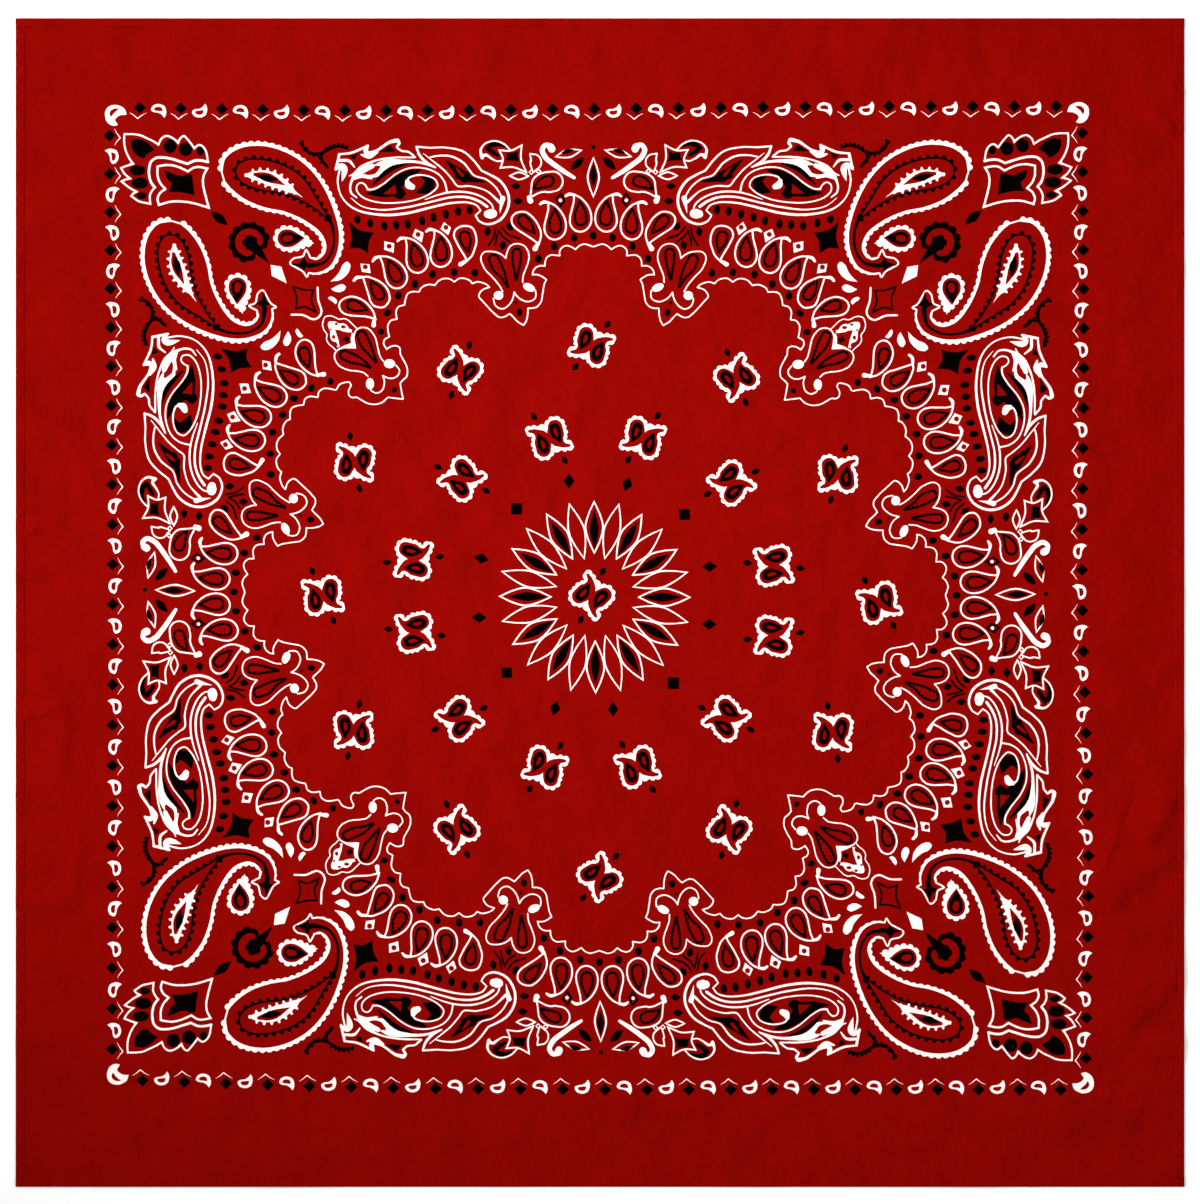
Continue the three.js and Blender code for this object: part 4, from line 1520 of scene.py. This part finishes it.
# Cotton weave and slubs, shared by the cloth and its hems
def makeWeaveGroup():
    settings = ("Threads Per Metre", "Slub Contrast", "Mottling")
    group, source, result = newGroup("cottonWeave", "Shader", settings, ("Shade", "Height", "Crumple"))
    coordinates = addNode(group, "ShaderNodeTexCoord", (0, 3))
    split = addNode(group, "ShaderNodeSeparateXYZ", (1, 3))
    group.links.new(coordinates.outputs["Object"], split.inputs[0])

    def combine(operation, a, b, place):
        node = addNode(group, "ShaderNodeMath", place, operation=operation)
        for socket, value in zip(node.inputs, (a, b)):
            if isinstance(value, (int, float)):
                socket.default_value = value
            else:
                group.links.new(value, socket)
        return node.outputs[0]

    def noise(place, at, **inputs):
        node = addNode(group, "ShaderNodeTexNoise", place, inputs, noise_dimensions="2D")
        group.links.new(at, node.inputs["Vector"])
        return node.outputs["Fac"]

    # threads over and under: a product of two sine waves
    waves = []
    for i, axis in enumerate(("X", "Y")):
        turned = combine("MULTIPLY", split.outputs[axis], source.outputs["Threads Per Metre"], (2, i + 3))
        turned = combine("MULTIPLY", turned, math.pi, (3, i + 3))
        waves.append(combine("SINE", turned, 0, (4, i + 3)))
    weave = combine("MULTIPLY", waves[0], waves[1], (5, 3))

    # slubs: thick and thin stretches of thread, long along each thread
    streaks = []
    for i, stretch in enumerate(((210, 1500, 1), (1450, 190, 1))):
        mapping = addNode(group, "ShaderNodeMapping", (2, i + 6), {"Scale": stretch})
        group.links.new(coordinates.outputs["Object"], mapping.inputs["Vector"])
        streaks.append(noise((3, i + 6), mapping.outputs[0], Scale=1, Detail=2))
    slub = combine("ADD", streaks[0], streaks[1], (4, 6))
    slub = combine("SUBTRACT", slub, 1.0, (5, 6))
    slub = combine("MULTIPLY", slub, source.outputs["Slub Contrast"], (6, 6))

    place = coordinates.outputs["Object"]
    cloud = noise((3, 9), place, Scale=38, Detail=5, Roughness=0.68)
    cloud = combine("SUBTRACT", cloud, 0.5, (4, 9))
    cloud = combine("MULTIPLY", cloud, source.outputs["Mottling"], (5, 9))

    # small uneven rises that show where the light comes in low
    crumple = noise((3, 11), place, Scale=42, Detail=4, Roughness=0.44)
    shade = combine("ADD", slub, cloud, (7, 6))
    shade = combine("ADD", shade, 1.0, (7, 5))
    height = combine("MULTIPLY", weave, 0.5, (6, 3))
    height = combine("ADD", height, slub, (7, 3))
    for name, value in (("Shade", shade), ("Height", height), ("Crumple", crumple)):
        group.links.new(value, result.inputs[name])
    return group


weaveDepth = 0.0002  # metres


def makeClothMaterial(name, weave, look):
    material = bpy.data.materials.new(name)
    material.use_nodes = True
    tree = material.node_tree
    surface = tree.nodes["Principled BSDF"]
    setInputs(surface, {"Roughness": look["roughness"], "Specular IOR Level": look["specular"]})
    threads = addNode(tree, "ShaderNodeGroup", (-5, 2), node_tree=weave)
    setInputs(threads, {
        "Threads Per Metre": look["threadsPerMetre"],
        "Slub Contrast": look["slubContrast"],
        "Mottling": look["mottling"],
    })
    if look["printed"]:
        # the ramp's stops lie between the three inks' numbers, which are scaled to 0, 0.4 and 0.8
        ink = addNode(tree, "ShaderNodeAttribute", (-5, 0), attribute_name="ink")
        share = addNode(tree, "ShaderNodeMath", (-4, 1), {1: 0.4}, operation="MULTIPLY")
        color = addNode(tree, "ShaderNodeValToRGB", (-4, 0))
        ramp = color.color_ramp
        ramp.interpolation = "CONSTANT"
        ramp.elements.new(0.6)
        for stop, place, paint in zip(ramp.elements, (0, 0.2, 0.6), ("dyed", "whiteInk", "blackInk")):
            stop.position = place
            stop.color = (*look[paint], 1)
        join(tree, (ink, "Fac", share, 0), (share, 0, color, 0))
    else:
        color = addNode(tree, "ShaderNodeRGB", (-4, 0))
        color.outputs[0].default_value = (*look["dyed"], 1)
    tint = addNode(tree, "ShaderNodeVectorMath", (-2, 0), operation="SCALE")
    rises = addNode(tree, "ShaderNodeBump", (-3, 3), {"Strength": 1, "Distance": look["crumple"]})
    bump = addNode(tree, "ShaderNodeBump", (-2, 3), {"Strength": look["bump"], "Distance": weaveDepth})
    join(
        tree,
        (color, 0, tint, 0),
        (threads, "Shade", tint, "Scale"),
        (tint, 0, surface, "Base Color"),
        (threads, "Crumple", rises, "Height"),
        (rises, 0, bump, "Normal"),
        (threads, "Height", bump, "Height"),
        (bump, 0, surface, "Normal"),
    )
    return material


weave = makeWeaveGroup()
clothLook = {
    "dyed": (0.196, 0.0013, 0.0005),
    "whiteInk": (0.94, 0.76, 0.72),
    "blackInk": (0.0012, 0.0004, 0.0004),
    "threadsPerMetre": 2400,
    "slubContrast": 0.2,
    "mottling": 0.26,
    "roughness": 0.92,
    "specular": 0.005,
    "bump": 0.3,
    "crumple": 0.0036,  # metres
    "printed": True,
}
hemLook = dict(clothLook, slubContrast=0.3, printed=False)
threadLook = dict(hemLook, dyed=(0.21, 0.0022, 0.001), roughness=0.8)

panel = makePanel()
panel.data.materials.append(makeClothMaterial("printedCotton", weave, clothLook))
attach(panel, "root")
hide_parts("cloth_panel")
print("panel made")

hemMaterial = makeClothMaterial("hemCotton", weave, hemLook)
outerHalf = cloth["side"] / 2
sideHalf = cloth["panelHalf"]
for name, node, turn, half in (
    ("bandana_hem_top", "hem_top", 0, outerHalf),
    ("bandana_hem_left", "hem_left", 1, sideHalf),
    ("bandana_hem_bottom", "hem_bottom", 2, outerHalf),
    ("bandana_hem_right", "hem_right", 3, sideHalf),
):
    hem = makeHem(name, turn, half)
    hem.data.materials.append(hemMaterial)
    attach(hem, "root")
    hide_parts(node)

threadMaterial = makeClothMaterial("threadCotton", weave, threadLook)
stitchTree = makeStitchTree()
for turn, edge in enumerate(("top", "left", "bottom", "right")):
    row = makeStitches("bandana_stitches_" + edge, turn, stitchTree, threadMaterial)
    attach(row, "root")

stage = {"floorReach": 3.0, "floorDrop": 0.0003, "floorColor": (0.96, 0.96, 0.96, 1)}
square = np.array([(-1, -1, 0), (1, -1, 0), (1, 1, 0), (-1, 1, 0)]) * stage["floorReach"]
floorMesh = bpy.data.meshes.new("floor")
floorMesh.from_pydata((square - (0, 0, stage["floorDrop"])).tolist(), [], [(0, 1, 2, 3)])
floor = addObject("floor", floorMesh)
floorMaterial = bpy.data.materials.new("paleFloor")
floorMaterial.use_nodes = True
floorLook = {"Base Color": stage["floorColor"], "Roughness": 0.9, "Specular IOR Level": 0.1}
setInputs(floorMaterial.node_tree.nodes["Principled BSDF"], floorLook)
floor.data.materials.append(floorMaterial)


def areaLight(name, look):
    data = bpy.data.lights.new(name, "AREA")
    data.shape = "RECTANGLE"
    data.size, data.size_y = look["size"]
    data.energy = look["watts"]
    data.spread = look["spread"]
    lamp = addObject(name, data)
    lamp.location = look["place"]
    way = Vector(look["aim"]) - Vector(look["place"])
    lamp.rotation_euler = way.to_track_quat("-Z", "Y").to_euler()
    lamp.visible_camera = False


studio = {
    "key": {
        "place": (-0.449, 0.185, 0.45),
        "aim": (0.087, 0.096, 0),
        "size": (0.709, 0.6),
        "spread": 1.234,
        "watts": 2.3,
    },
    "fill": {
        "place": (0.256, 0.266, 1.245),
        "aim": (0.18, 0.19, 0),
        "size": (0.4, 0.4),
        "spread": 3.0,
        "watts": 2.6,
    },
    "ambient": 0.66,
    "lens": 150.5,
    "cameraPlace": (0, 0.00024, 2.4),
}
areaLight("keyLight", studio["key"])
areaLight("fillLight", studio["fill"])
world = bpy.context.scene.world or bpy.data.worlds.new("studio")
bpy.context.scene.world = world
world.use_nodes = True
setInputs(world.node_tree.nodes["Background"], {0: (1, 1, 1, 1), 1: studio["ambient"]})

camera = bpy.data.cameras.new("photoCamera")
camera.sensor_width = 36
camera.sensor_fit = "HORIZONTAL"
camera.lens = studio["lens"]
camera.clip_end = 20
cameraObject = addObject("photoCamera", camera)
cameraObject.location = studio["cameraPlace"]
bpy.context.scene.camera = cameraObject
bpy.context.scene.view_settings.view_transform = "Standard"
